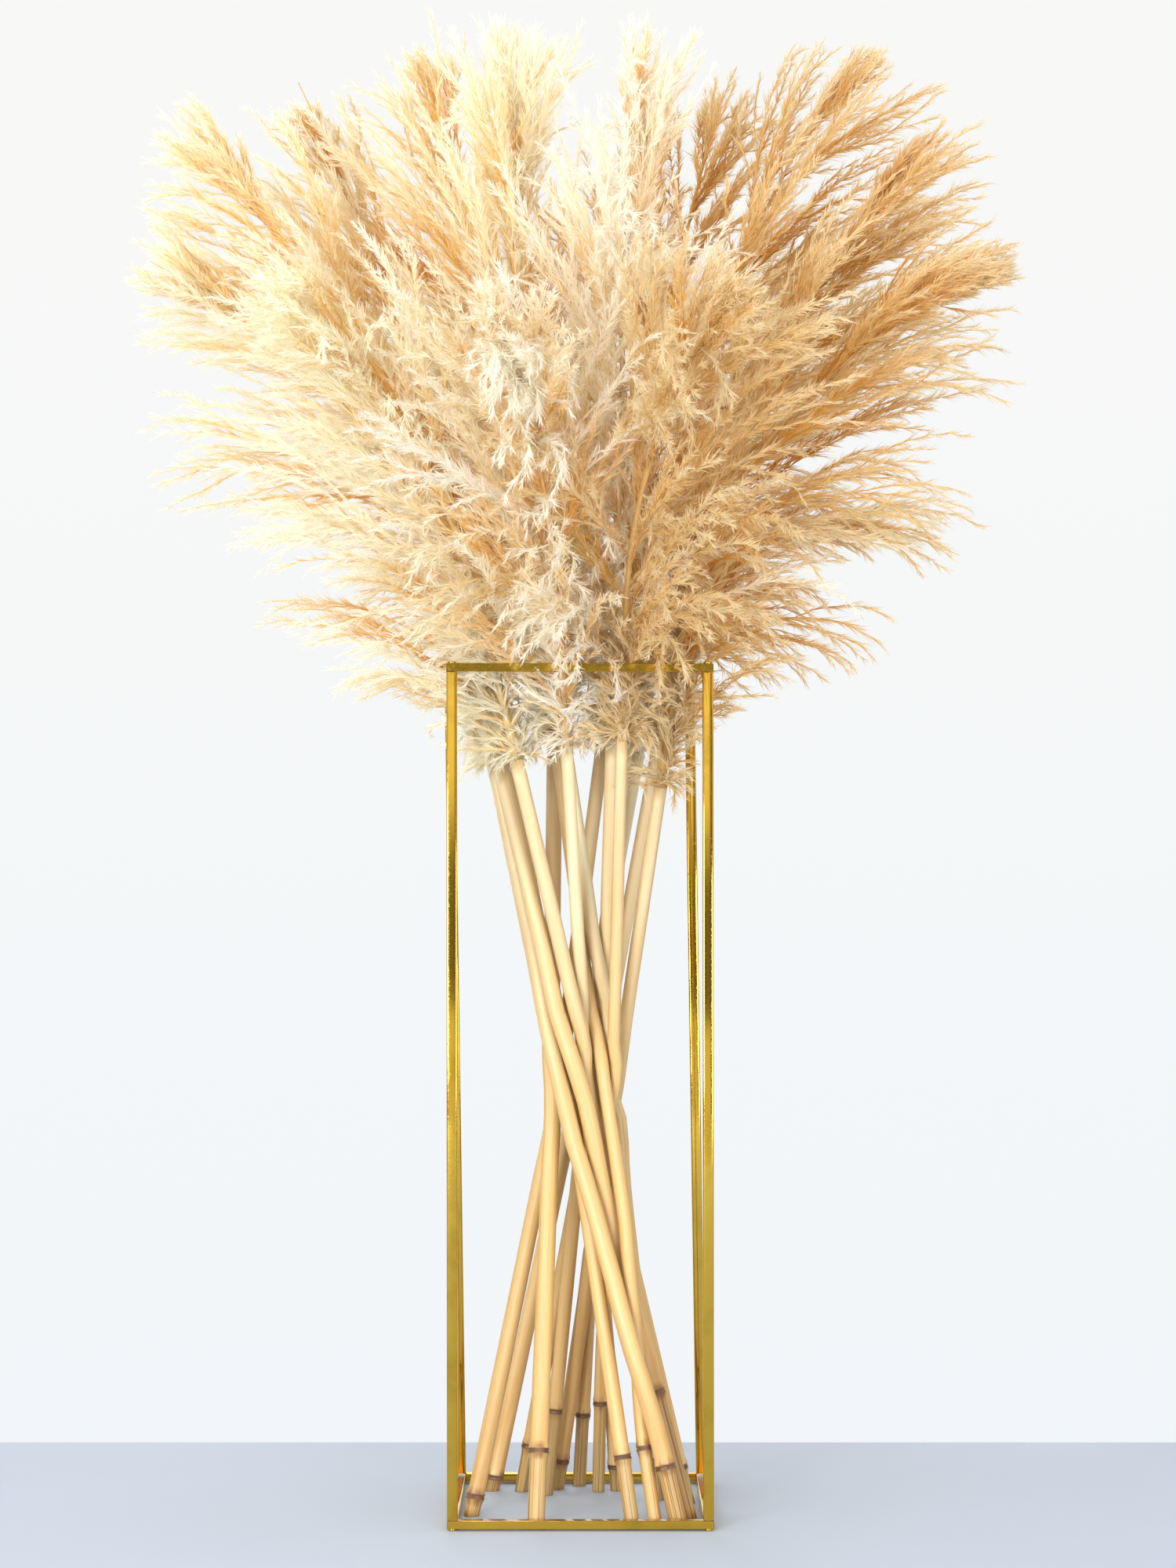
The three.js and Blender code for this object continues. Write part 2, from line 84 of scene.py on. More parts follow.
def count_size(name, description, default, least=0, most=200):
    """A whole number that a user can change."""
    return bpy.props.IntProperty(
        name=name, description=description, default=default, min=least, max=most
    )


def length_size(name, description, default):
    """A length that a user can change."""
    return bpy.props.FloatProperty(
        name=name, description=description, default=default, unit="LENGTH"
    )


def colour_size(name, description, default):
    """A colour that a user can change."""
    return bpy.props.FloatVectorProperty(
        name=name, description=description, default=default,
        subtype="COLOR", size=3, min=0.0, max=1.0,
    )


class PlumeSizes(bpy.types.PropertyGroup):
    branches: count_size("Branches", "Side branches on one plume", 80, 10, 200)
    twigs: count_size("Twigs", "Fine twigs that fork off each branch", 3, 0, 8)
    collar: count_size("Collar", "Woolly locks around the plume's foot", 64)
    branch_length: length_size("Branch length", "Length of the longest branches", 0.29)
    sag: bpy.props.FloatProperty(
        name="Sag", description="How much branches droop under their weight", default=1.0, min=0.0
    )
    hair_length: length_size("Hair length", "Length of the silky hairs at mid branch", 0.022)
    hair_width: length_size("Hair width", "Width of a hair at its root", 0.00095)
    hair_spacing: length_size("Hair spacing", "Distance between hairs along a branch", 0.00098)
    hair_lean: bpy.props.FloatProperty(
        name="Hair lean", description="Angle between a hair and its branch",
        default=math.radians(27), subtype="ANGLE",
    )
    # Shade is the darkest hair tone and also the painted shade at the hair roots deep inside a
    # plume
    shade: colour_size("Shade", "Golden brown deep inside a plume", (0.86, 0.53, 0.115))
    straw: colour_size("Straw", "Warm straw of the hairs' main length", (0.985, 0.825, 0.455))
    cream: colour_size("Cream", "Pale cream of the hair ends", (1.0, 0.97, 0.90))


class StemSizes(bpy.types.PropertyGroup):
    sides: count_size("Sides", "Facets around a stem", 28, 8, 64)
    wall: length_size("Wall", "Thickness of the reed's wall at the cut foot", 0.0018)
    recess: length_size("Recess", "Depth of the hollow in the cut foot", 0.009)
    straw: colour_size("Straw", "Warm yellow of the middle of a stem", (0.62, 0.38, 0.10))
    pale: colour_size("Pale end", "Greenish cream below the plume", (0.63, 0.465, 0.26))
    foot: colour_size("Foot", "Tan brown below the lowest joint", (0.42, 0.21, 0.05))


class StandSizes(bpy.types.PropertyGroup):
    edge: length_size("Edge", "Rounding of the cut ends of the tubes", 0.0005)
    socket: length_size(
        "Socket", "Half the width across flats of the screw's hexagon socket", 0.0017
    )
    gold: colour_size("Gold", "Polished gold of the tubes", (0.70, 0.44, 0.058))
    dull_gold: colour_size("Dull gold", "Gold where it is handled and dusty", (0.48, 0.285, 0.03))


class StageSizes(bpy.types.PropertyGroup):
    floor_half_width: length_size("Floor half width", "Half the width of the platform", 2.6)
    floor_front: length_size("Floor front", "How far the platform reaches in front", 3.0)
    floor_back: length_size("Floor back", "How far the platform reaches behind", 0.35)
    lens: bpy.props.FloatProperty(
        name="Lens", description="Focal length in millimetres", default=86.18, min=1.0
    )
    camera_place: bpy.props.FloatVectorProperty(
        name="Camera place", description="Where the camera stands",
        default=(0.007, -3.635, 0.699), subtype="XYZ", size=3,
    )
    floor_colour: colour_size("Floor colour", "Pale blue grey of the floor", (0.458, 0.531, 0.650))
    wall_colour: colour_size("Wall colour", "Near white around the stage", (0.885, 0.92, 0.955))


# ---- joining nodes in a tree


def feed(tree, socket, value):
    """Leads another node's socket into an input, or sets the input's own value."""
    if isinstance(value, bpy.types.NodeSocket):
        tree.links.new(value, socket)
    else:
        socket.default_value = value


def add(tree, kind, feeds=None, **options):
    """Adds one node, sets its options and feeds its inputs with values or other nodes' sockets."""
    node = tree.nodes.new(kind)
    for option, value in options.items():
        setattr(node, option, value)
    for socket, value in (feeds or {}).items():
        feed(tree, node.inputs[socket], value)
    return node


def output(tree, kind, feeds=None, **options):
    """The first output of a node that is added in the same way."""
    return add(tree, kind, feeds, **options).outputs[0]


def reckon(tree, operation, first, second=0.0, third=0.0, clamp=False):
    """The output of one Math node."""
    feeds = {0: first, 1: second, 2: third}
    return output(tree, "ShaderNodeMath", feeds, operation=operation, use_clamp=clamp)


def times(tree, first, second):
    """The product of two values."""
    return reckon(tree, "MULTIPLY", first, second)


def steer(tree, operation, first, second=None, scale=None):
    """The vector output of one Vector Math node."""
    feeds = {0: first}
    if second is not None:
        feeds[1] = second
    if scale is not None:
        feeds["Scale"] = scale
    return output(tree, "ShaderNodeVectorMath", feeds, operation=operation)


def chance(tree, low, high, seed, number=None):
    """A random number between low and high for each element, or for each group number."""
    feeds = {2: low, 3: high, "Seed": seed}
    if number is not None:
        feeds["ID"] = number
    return add(tree, "FunctionNodeRandomValue", feeds, data_type="FLOAT").outputs[1]


def named(tree, name, kind="FLOAT"):
    """The value of a named attribute."""
    feeds = {"Name": name}
    return add(tree, "GeometryNodeInputNamedAttribute", feeds, data_type=kind).outputs["Attribute"]


def store(tree, geometry, name, value, kind="FLOAT", domain="POINT"):
    """Stores a named attribute and returns the geometry."""
    feeds = {"Geometry": geometry, "Name": name, "Value": value}
    made = add(tree, "GeometryNodeStoreNamedAttribute", feeds, data_type=kind, domain=domain)
    return made.outputs[0]


def new_tree(name, inputs):
    """A geometry tree with a geometry in and out and these named inputs, with its group input."""
    tree = bpy.data.node_groups.new(name, "GeometryNodeTree")
    tree.interface.new_socket("Geometry", in_out="INPUT", socket_type="NodeSocketGeometry")
    for label, kind, default in inputs:
        socket = tree.interface.new_socket(label, in_out="INPUT", socket_type=f"NodeSocket{kind}")
        if default is not None:
            socket.default_value = default
    tree.interface.new_socket("Geometry", in_out="OUTPUT", socket_type="NodeSocketGeometry")
    return tree, tree.nodes.new("NodeGroupInput")


def close_tree(tree, given, geometry):
    """Gives the finished geometry the tree's material, leads it to the output and ends the tree."""
    feeds = {"Geometry": geometry, "Material": given.outputs["Material"]}
    finished = output(tree, "GeometryNodeSetMaterial", feeds)
    tree.links.new(finished, tree.nodes.new("NodeGroupOutput").inputs[0])
    return tree


def in_scene(name, data):
    """A new object with this data in the scene."""
    piece = bpy.data.objects.new(name, data)
    bpy.context.scene.collection.objects.link(piece)
    return piece


def made_plain(name, base, tree, values):
    """Runs the tree on the base mesh and keeps what it makes as a plain mesh object."""
    piece = in_scene(name, base)
    work = piece.modifiers.new(tree.name, "NODES")
    work.node_group = tree
    known = {s.name: s.identifier for s in tree.interface.items_tree if s.in_out == "INPUT"}
    for label, value in values.items():
        work[known[label]] = value
    depsgraph = bpy.context.evaluated_depsgraph_get()
    depsgraph.update()
    made = bpy.data.meshes.new_from_object(
        piece.evaluated_get(depsgraph), preserve_all_data_layers=True, depsgraph=depsgraph
    )
    piece.modifiers.clear()
    piece.data = made
    made.name = name
    bpy.data.meshes.remove(base)
    if not len(made.polygons):
        raise RuntimeError(f"{name} came out empty")
    return piece


def settle(piece, slot, *nodes):
    """Ties a finished piece to the frame."""
    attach(piece, BODY)
    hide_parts(*nodes)


def base_mesh(name, points, edges=(), faces=(), **values):
    """A mesh with float or vector values on its points."""
    mesh = bpy.data.meshes.new(name)
    mesh.from_pydata([tuple(p) for p in points], edges, faces)
    for label, numbers in values.items():
        numbers = np.asarray(numbers, np.float32)
        wide = numbers.ndim == 2
        layer = mesh.attributes.new(label, "FLOAT_VECTOR" if wide else "FLOAT", "POINT")
        layer.data.foreach_set("vector" if wide else "value", numbers.ravel())
    return mesh


def smooth_mesh(work, name, degrees):
    """A mesh of a bmesh, smooth but for the edges that are sharper than an angle."""
    mesh = bpy.data.meshes.new(name)
    work.to_mesh(mesh)
    work.free()
    mesh.shade_smooth()
    mesh.set_sharp_from_angle(angle=math.radians(degrees))
    return mesh


# ---- reading the frame


def merged(node):
    """A CAD node's mesh as bmesh, with its loose triangles joined."""
    work = bmesh.new()
    work.from_mesh(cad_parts[node].data)
    bmesh.ops.remove_doubles(work, verts=work.verts, dist=1e-6)
    work.verts.index_update()
    return work


def rings_of(node, sides, near):
    """Ring centres and radii of a turned CAD solid, from the end that lies near a point."""
    work = merged(node)
    poles = [v for v in work.verts if len(v.link_edges) == sides]
    start = min(poles, key=lambda v: (v.co - near).length)
    layer, seen, centres, radii = [start], {start}, [], []
    while layer:
        around = {e.other_vert(v) for v in layer for e in v.link_edges} - seen
        layer = sorted(around, key=lambda v: v.index)  # so that sums come out alike each run
        seen.update(layer)
        if len(layer) < sides:
            break
        centre = sum((v.co for v in layer), Vector()) / len(layer)
        centres.append(centre)
        radii.append(sum((v.co - centre).length for v in layer) / len(layer))
    work.free()
    return centres, radii


def point_along(places, points, place):
    """The point of a line at a place between the known places of its points."""
    return Vector([float(np.interp(place, places, [p[i] for p in points])) for i in range(3)])


# ---- looks shared by materials


def new_material(name):
    """An empty node material with its output."""
    material = bpy.data.materials.new(name)
    material.use_nodes = True
    tree = material.node_tree
    tree.nodes.clear()
    return material, tree, tree.nodes.new("ShaderNodeOutputMaterial")


def shader_group(name, inputs, outputs):
    """A shader group with these sockets."""
    tree = bpy.data.node_groups.new(name, "ShaderNodeTree")
    for label, kind, default in inputs:
        socket = tree.interface.new_socket(label, in_out="INPUT", socket_type=f"NodeSocket{kind}")
        socket.default_value = default
    for label, kind in outputs:
        tree.interface.new_socket(label, in_out="OUTPUT", socket_type=f"NodeSocket{kind}")
    return tree, tree.nodes.new("NodeGroupInput"), tree.nodes.new("NodeGroupOutput")


def noise(tree, where, scale, detail=4.0, roughness=0.55):
    """A noise value between 0 and 1."""
    feeds = {"Vector": where, "Scale": scale, "Detail": detail, "Roughness": roughness}
    return output(tree, "ShaderNodeTexNoise", feeds)


def between(tree, value, low, high, to_low=0.0, to_high=1.0):
    """A value mapped from one range to another and kept inside it."""
    feeds = {0: value, 1: low, 2: high, 3: to_low, 4: to_high}
    return output(tree, "ShaderNodeMapRange", feeds, interpolation_type="SMOOTHSTEP")


def blend(tree, share, first, second, kind="MIX"):
    """A mix of two colours."""
    node = add(tree, "ShaderNodeMix", data_type="RGBA", blend_type=kind)
    colours = [s for s in node.inputs if s.type == "RGBA"]
    for socket, value in ((node.inputs[0], share), (colours[0], first), (colours[1], second)):
        feed(tree, socket, value)
    return next(s for s in node.outputs if s.type == "RGBA")


def opaque(colour, gain=1.0):
    """A colour with its alpha, made lighter or darker."""
    return (*(min(1.0, c * gain) for c in colour), 1.0)


def fibre_group():
    """Fine streaks along a stem and blotches across it, used by every dry plant finish."""
    tree, given, out = shader_group(
        "Dry fibre",
        [("Where", "Vector", (0, 0, 0)), ("Fineness", "Float", 9.0), ("Stretch", "Float", 0.05)],
        [("Streak", "Float"), ("Blotch", "Float")],
    )
    along = add(tree, "ShaderNodeCombineXYZ", {0: 1.0, 1: 1.0, 2: given.outputs["Stretch"]})
    drawn = steer(tree, "MULTIPLY", given.outputs["Where"], along.outputs[0])
    streak = noise(tree, drawn, given.outputs["Fineness"], 5.0, 0.65)
    tree.links.new(between(tree, streak, 0.3, 0.7), out.inputs["Streak"])
    blotch = noise(tree, given.outputs["Where"], 0.9, 3.0, 0.5)
    tree.links.new(between(tree, blotch, 0.36, 0.66), out.inputs["Blotch"])
    return tree


def group_in(tree, group, **values):
    """Places a shader group in a material."""
    node = add(tree, "ShaderNodeGroup", node_tree=group)
    for label, value in values.items():
        feed(tree, node.inputs[label], value)
    return node


# ---- plumes


# how one plume grows: its tint, how pale it is, its curl, how wide it opens and its front tufts
Habit = namedtuple("Habit", "finish shade curl spread tufts", defaults=(0.0, 1.0, 1.0, 0))
HABITS = {
    1: Habit("tan", -0.04),
    2: Habit("peach", -0.02),
    # 3 to 6 stand on the bundle's right: their tan tint and the lower paleness of 3 to 5 are partly
    # painted shade for that less lit side
    3: Habit("tan", -0.10, spread=1.35),
    4: Habit("tan", -0.08),
    5: Habit("tan", -0.04, spread=1.25),
    6: Habit("tan", 0.02, spread=1.35),
    7: Habit("cream", 0.18, curl=1.5, tufts=40),
    8: Habit("tan", 0.08, tufts=6),
    9: Habit("cream", 0.14, curl=1.2, tufts=34),
    10: Habit("peach", 0.0, spread=1.2),
    11: Habit("peach", -0.02),
    12: Habit("peach", 0.06, spread=1.25),
    # 13 and 14 at the low front, and 9, are paler: partly their own cream, partly painted light for
    # the shaded low middle of the bundle
    13: Habit("peach", 0.24, curl=1.2, tufts=24),
    14: Habit("peach", 0.27, curl=1.2, tufts=12),
    15: Habit("peach", 0.04, spread=1.3),
}

# tan is partly the plumes' own beige and partly painted shade, made darker for the plumes on the
# bundle's less lit right side
TINTS = {"peach": (1.0, 0.995, 0.96), "tan": (0.90, 0.825, 0.65), "cream": (1.0, 0.99, 1.0)}


def from_table(table, share):
    """Reads a value from a short table of (share, value) pairs."""
    places, values = zip(*table)
    return float(np.interp(share, places, values))


# lengths and angles of branches along a stalk, and lengths of hairs along a branch
BRANCH_LENGTHS = ((0.0, 0.60), (0.08, 0.80), (0.25, 1.0), (0.5, 0.92), (0.75, 0.74), (1.0, 0.5))
BRANCH_ANGLES = ((0.0, 34), (0.12, 42), (0.3, 42), (0.55, 32), (0.8, 18), (1.0, 6))
HAIR_SHAPE = ((0.0, 0.0), (0.05, 0.35), (0.2, 0.9), (0.45, 1.0), (0.75, 0.9), (1.0, 0.55))
# the bundle's outline: the lowest height by distance from the middle, and the widest by height
LOWEST = ((0.0, 0.70), (0.11, 0.72), (0.16, 0.795), (0.30, 0.795), (0.42, 0.84))
WIDEST = (
    (0.70, 0.16), (0.79, 0.245), (0.84, 0.32), (0.90, 0.37), (0.98, 0.41), (1.08, 0.43),
    (1.2, 0.44), (1.3, 0.43), (1.36, 0.40), (1.40, 0.355), (1.44, 0.27),
)
FAMILY = 3  # branches that grow together as one feather
TIP_REACH = 0.012  # how far the topmost branches pass the end of the stalk
FIRST_BRANCH, LAST_BRANCH = 0.045, 0.90  # where on the stalk the long branches start and end
PLUME_FACETS = 10  # facets around a plume's solid in the frame
STALK_POINTS = 22
STALK_GIRTH, STALK_TIP = 0.0040, 0.0006  # radii
STALK_FLARE, FLARE_SHARE = 0.0024, 0.14  # the thicker foot of a stalk, and how far up it goes
STALK_TONE, STALK_RISE = 0.55, 0.35  # where a stalk lies on the plume's map
PLUME_SEED = 7300
HAIR_SEED = 40  # the step of the hairs' seed from plume to plume
SAG_AT_START, SAG_GROWTH = 0.2, 2.2  # how the weight pulls along a branch
OUT_PULL, OUT_RISE = 0.6, 0.6  # pull away from the heart, and how much of it goes upwards
HEART_WIDTH = 0.15  # that pull fades out closer to the heart than this
WAVER = 0.9
LIFT, MOST_LIFT, LIFT_GAP = 90, 4.0, 0.02  # the push up at the bundle's lower outline
SHORTENED = (1.0, 0.94, 0.88, 0.82, 0.76, 0.7, 0.64, 0.58, 0.52, 0.46, 0.4)
TIP_TOP = 0.006  # how far under the frame's top a branch has to end
BRANCH_STALK, TWIG_STALK, TIP_STALK = 0.0007, 0.0004, 0.0002  # radii at the foot, and at any tip
TWIG_LEAN = 0.8  # how far a twig's hairs lean, as a share of a branch's
LOCK_TONE, LOCK_START = 0.74, 0.44  # woolly locks: how pale, and where on the map they start
LOCK_STALK, LOCK_LEAN, LOCK_CURL = 0.0021, 0.70, 3.4
TUFT_TONE, TUFT_START = 0.98, 0.8  # the white tufts on the front plumes
TUFT_STALK, TUFT_LEAN, TUFT_CURL = 0.0013, 0.85, 3.0
SHORTEST_HAIR = 0.0008  # no hair grows where it would be shorter
FLECK = 0.16  # how much the shade of single hairs differs
MAP_WIDTH, MAP_LEFT = 0.94, 0.03  # where the shades lie on the plume's map
HAIR_STRIP = 0.006  # the width of one hair on it
MAP_ALONG, MAP_FOOT = 0.76, 0.01  # where the length of a branch lies on it
MAP_RISE = 0.2  # how far up it a hair reaches
MAP_GRAIN = (90.0, 14.0, 1.0)  # fineness of the flecks across and up it
LIGHT_THROUGH = 0.62  # share of the light that hairs let through


def grown(start, heading, length, sag, curl, rng, steps, hang=0.0):
    """Points of one branch, which sets off along its heading, sags and wavers."""
    way = heading.normalized()
    side = way.cross(Vector(rng.normal(size=3))).normalized()
    other = way.cross(side)
    phase, turn = rng.uniform(0, math.tau), rng.uniform(4.0, 8.0)
    points = [start.copy()]
    for step in range(steps):
        share = (step + 0.5) / steps
        spot = points[-1]
        reach = math.hypot(spot.x, spot.y)
        outwards = spot - HEART
        outwards.z *= OUT_RISE
        outwards.normalize()
        outwards *= min(1.0, reach / HEART_WIDTH)
        waver = side * math.sin(phase + turn * share) + other * math.cos(phase + turn * share)
        weight = UP * sag * (SAG_AT_START + SAG_GROWTH * share * share)
        pull = outwards * OUT_PULL - weight + waver * curl * WAVER
        sunk = from_table(LOWEST, reach) - hang + LIFT_GAP - spot.z
        if sunk > 0:
            pull += UP * min(MOST_LIFT, sunk * LIFT)
        way = (way + pull / steps).normalized()
        points.append(spot + way * (length / steps))
    return points


def inside_outline(point):
    """Tells if a point lies in the frame's box, let out a little, and in the bundle's outline."""
    if math.hypot(point.x, point.y) > from_table(WIDEST, point.z):
        return False
    if point.z > cad_high.z - TIP_TOP:
        return False
    for axis in (0, 1):
        proud = (cad_high[axis] - cad_low[axis]) * PROUD_SHARE + PROUD_EXTRA - HAIR_ROOM
        if not cad_low[axis] - proud < point[axis] < cad_high[axis] + proud:
            return False
    return True


def kept_in(points):
    """Shortens a branch that would reach out of the bundle's outline, or drops it."""
    start = points[0]
    for share in SHORTENED:
        drawn = [start + (point - start) * share for point in points]
        if all(inside_outline(point) for point in drawn[1:]):
            return drawn
    return None


class Lines:
    """The branch lines of one plume as they are gathered."""

    def __init__(self):
        self.points, self.edges = [], []
        self.values = {name: [] for name in ("shade", "along", "stalk", "hair", "lean")}

    def put(self, points, shade, along, stalk, hair, lean=1.0):
        first, count = len(self.points), len(points)
        self.points += points
        self.edges += [(first + i, first + i + 1) for i in range(count - 1)]
        rows = ([shade] * count, along, stalk, hair, [lean] * count)
        for kept, row in zip(self.values.values(), rows):
            kept.extend(row)

    def mesh(self, name):
        return base_mesh(name, self.points, self.edges, **self.values)


def plume_lines(number, sizes):
    """Grows the stalk, branches, twigs, locks and tufts of a plume along its axis in the frame."""
    rng = np.random.default_rng(PLUME_SEED + number)
    habit = HABITS[number]
    stem_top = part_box(f"stem_{number:02d}")[1]
    axis, _ = rings_of(f"plume_{number:02d}", PLUME_FACETS, stem_top)
    gaps = [0.0] + [(b - a).length for a, b in zip(axis, axis[1:])]
    travelled = np.cumsum(gaps)
    whole = travelled[-1]

    def at(share):
        return point_along(travelled, axis, share * whole)

    lines = Lines()
    shares = [i / (STALK_POINTS - 1) for i in range(STALK_POINTS)]
    flares = [STALK_FLARE * max(0.0, 1 - s / FLARE_SHARE) for s in shares]
    stalk = [STALK_GIRTH * (1 - s) ** 0.8 + STALK_TIP + f for s, f in zip(shares, flares)]
    rises, bare = [STALK_RISE] * STALK_POINTS, [0.0] * STALK_POINTS
    lines.put([at(s) for s in shares], STALK_TONE, rises, stalk, bare)

    def hairs(count, start, gain):
        spots = np.linspace(0, 1, count)
        length = [from_table(HAIR_SHAPE, s) * sizes.hair_length * gain for s in spots]
        return [start + (1 - start) * s for s in spots], length

    def side_way(heading, bias):
        """A direction square to the axis, more often on the side away from the bundle's heart."""
        free = Vector(rng.normal(size=3))
        free += (at(0.5) - HEART).normalized() * bias
        free -= heading * free.dot(heading)
        return free.normalized()

    def heading_at(share):
        return (at(min(1.0, share + 0.03)) - at(max(0.0, share - 0.03))).normalized()

    def turned_from(heading, away, degrees):
        angle = math.radians(degrees)
        return heading * math.cos(angle) + away * math.sin(angle)

    def put_branch(points, tone, start, gain, thick, lean=1.0):
        if points:
            along, hair = hairs(len(points), start, gain)
            stalk = np.linspace(thick, TIP_STALK, len(points))
            lines.put(points, tone, along, stalk, hair, lean)

    def put_twigs(points, count, length, tone, start, sag, curl, hang):
        for _ in range(count):
            place = rng.uniform(0.15, 0.78)
            spot = min(len(points) - 2, int(place * (len(points) - 1)))
            ahead = (points[spot + 1] - points[spot]).normalized()
            aside = ahead.cross(Vector(rng.normal(size=3))).normalized()
            way = turned_from(ahead, aside, rng.uniform(12, 34))
            reach = length * rng.uniform(0.22, 0.46)
            fork = kept_in(grown(points[spot], way, reach, sag, curl * 1.4, rng, 6, hang))
            own = tone + rng.normal() * 0.05
            along = start + (1 - start) * place * 0.8
            put_branch(fork, own, along, rng.uniform(0.7, 0.95), TWIG_STALK, TWIG_LEAN)

    families = max(1, sizes.branches // FAMILY)
    for family in range(families):
        spread = ((family + rng.uniform(0.1, 0.9)) / families) ** 0.92
        middle = FIRST_BRANCH + (LAST_BRANCH - FIRST_BRANCH) * spread
        shared_way = side_way(heading_at(middle), 0.35)
        shared_angle = rng.uniform(0.3, 1.3) * habit.spread
        shared_tone = 0.5 + habit.shade + rng.normal() * 0.13
        shared_sag = sizes.sag * rng.uniform(0.4, 1.1)
        hang = abs(rng.normal()) * 0.03
        for _ in range(FAMILY):
            share = min(LAST_BRANCH, max(FIRST_BRANCH, middle + rng.normal() * 0.012))
            start, heading = at(share), heading_at(share)
            away = shared_way + Vector(rng.normal(size=3)) * 0.14
            away = (away - heading * away.dot(heading)).normalized()
            degrees = from_table(BRANCH_ANGLES, share) * shared_angle + rng.normal() * 3.0
            way = turned_from(heading, away, degrees)
            length = sizes.branch_length * from_table(BRANCH_LENGTHS, share)
            length *= rng.uniform(0.68, 1.06)
            room = (1 - share) * whole * rng.uniform(0.78, 1.06) + TIP_REACH
            length = min(length, room / max(0.3, math.cos(math.radians(degrees))))
            sag = shared_sag * (1.5 - 1.2 * share)
            curl = habit.curl * rng.uniform(0.15, 0.6)
            points = kept_in(grown(start, way, length, sag, curl, rng, 11, hang))
            if not points:
                continue
            tone = shared_tone + rng.normal() * 0.06
            gain = rng.uniform(0.88, 1.18) * (1.04 - 0.1 * share)
            put_branch(points, tone, 0.0, gain, BRANCH_STALK)
            twigs = sizes.twigs if share < 0.7 else max(1, sizes.twigs - 1)
            put_twigs(points, twigs, length, tone, 0.0, sag, curl, hang)

    for index in range(sizes.collar):
        lowest = index % 3 == 0
        share = rng.uniform(0.0, 0.012) if lowest else rng.uniform(0.0, 0.16)
        start, heading = at(share), heading_at(share)
        degrees = rng.uniform(20, 62) if lowest else rng.uniform(5, 32)
        way = turned_from(heading, side_way(heading, 0.0), degrees)
        length = rng.uniform(0.028, 0.050) if lowest else rng.uniform(0.050, 0.100)
        sag = 1.5 if lowest else 0.5
        points = kept_in(grown(start, way, length, sag, LOCK_CURL, rng, 8, 0.12))
        tone = LOCK_TONE + rng.normal() * 0.13
        put_branch(points, tone, LOCK_START, rng.uniform(0.70, 0.95), LOCK_STALK, LOCK_LEAN)

    for _ in range(habit.tufts):
        share = rng.uniform(0.22, 0.9)
        start, heading = at(share), heading_at(share)
        front = Vector((rng.normal() * 0.55, -1.0, rng.normal() * 0.25))
        away = (front - heading * front.dot(heading)).normalized()
        way = turned_from(heading, away, rng.uniform(40, 85))
        length = rng.uniform(0.045, 0.085)
        sag = rng.uniform(1.6, 3.2)
        points = kept_in(grown(start, way, length, sag, TUFT_CURL, rng, 9, 0.02))
        if points:
            tone = TUFT_TONE + rng.normal() * 0.05
            put_branch(points, tone, TUFT_START, rng.uniform(0.65, 0.9), TUFT_STALK, TUFT_LEAN)
            put_twigs(points, 3, length * 1.1, tone, TUFT_START, sag, 1.8, 0.02)
    return lines


def hair_mesh():
    """One silky hair: a thin ribbon that tapers and bends to its tip."""
    points = [(-0.5, 0, 0), (0.5, 0, 0), (-0.4, 0.05, 0.5), (0.4, 0.05, 0.5), (0, 0.22, 1.0)]
    faces = [(0, 1, 3, 2), (2, 3, 4)]
    side = [p[0] + 0.5 for p in points]
    rise = [p[2] for p in points]
    return base_mesh("hair", points, (), faces, hair_side=side, hair_rise=rise)


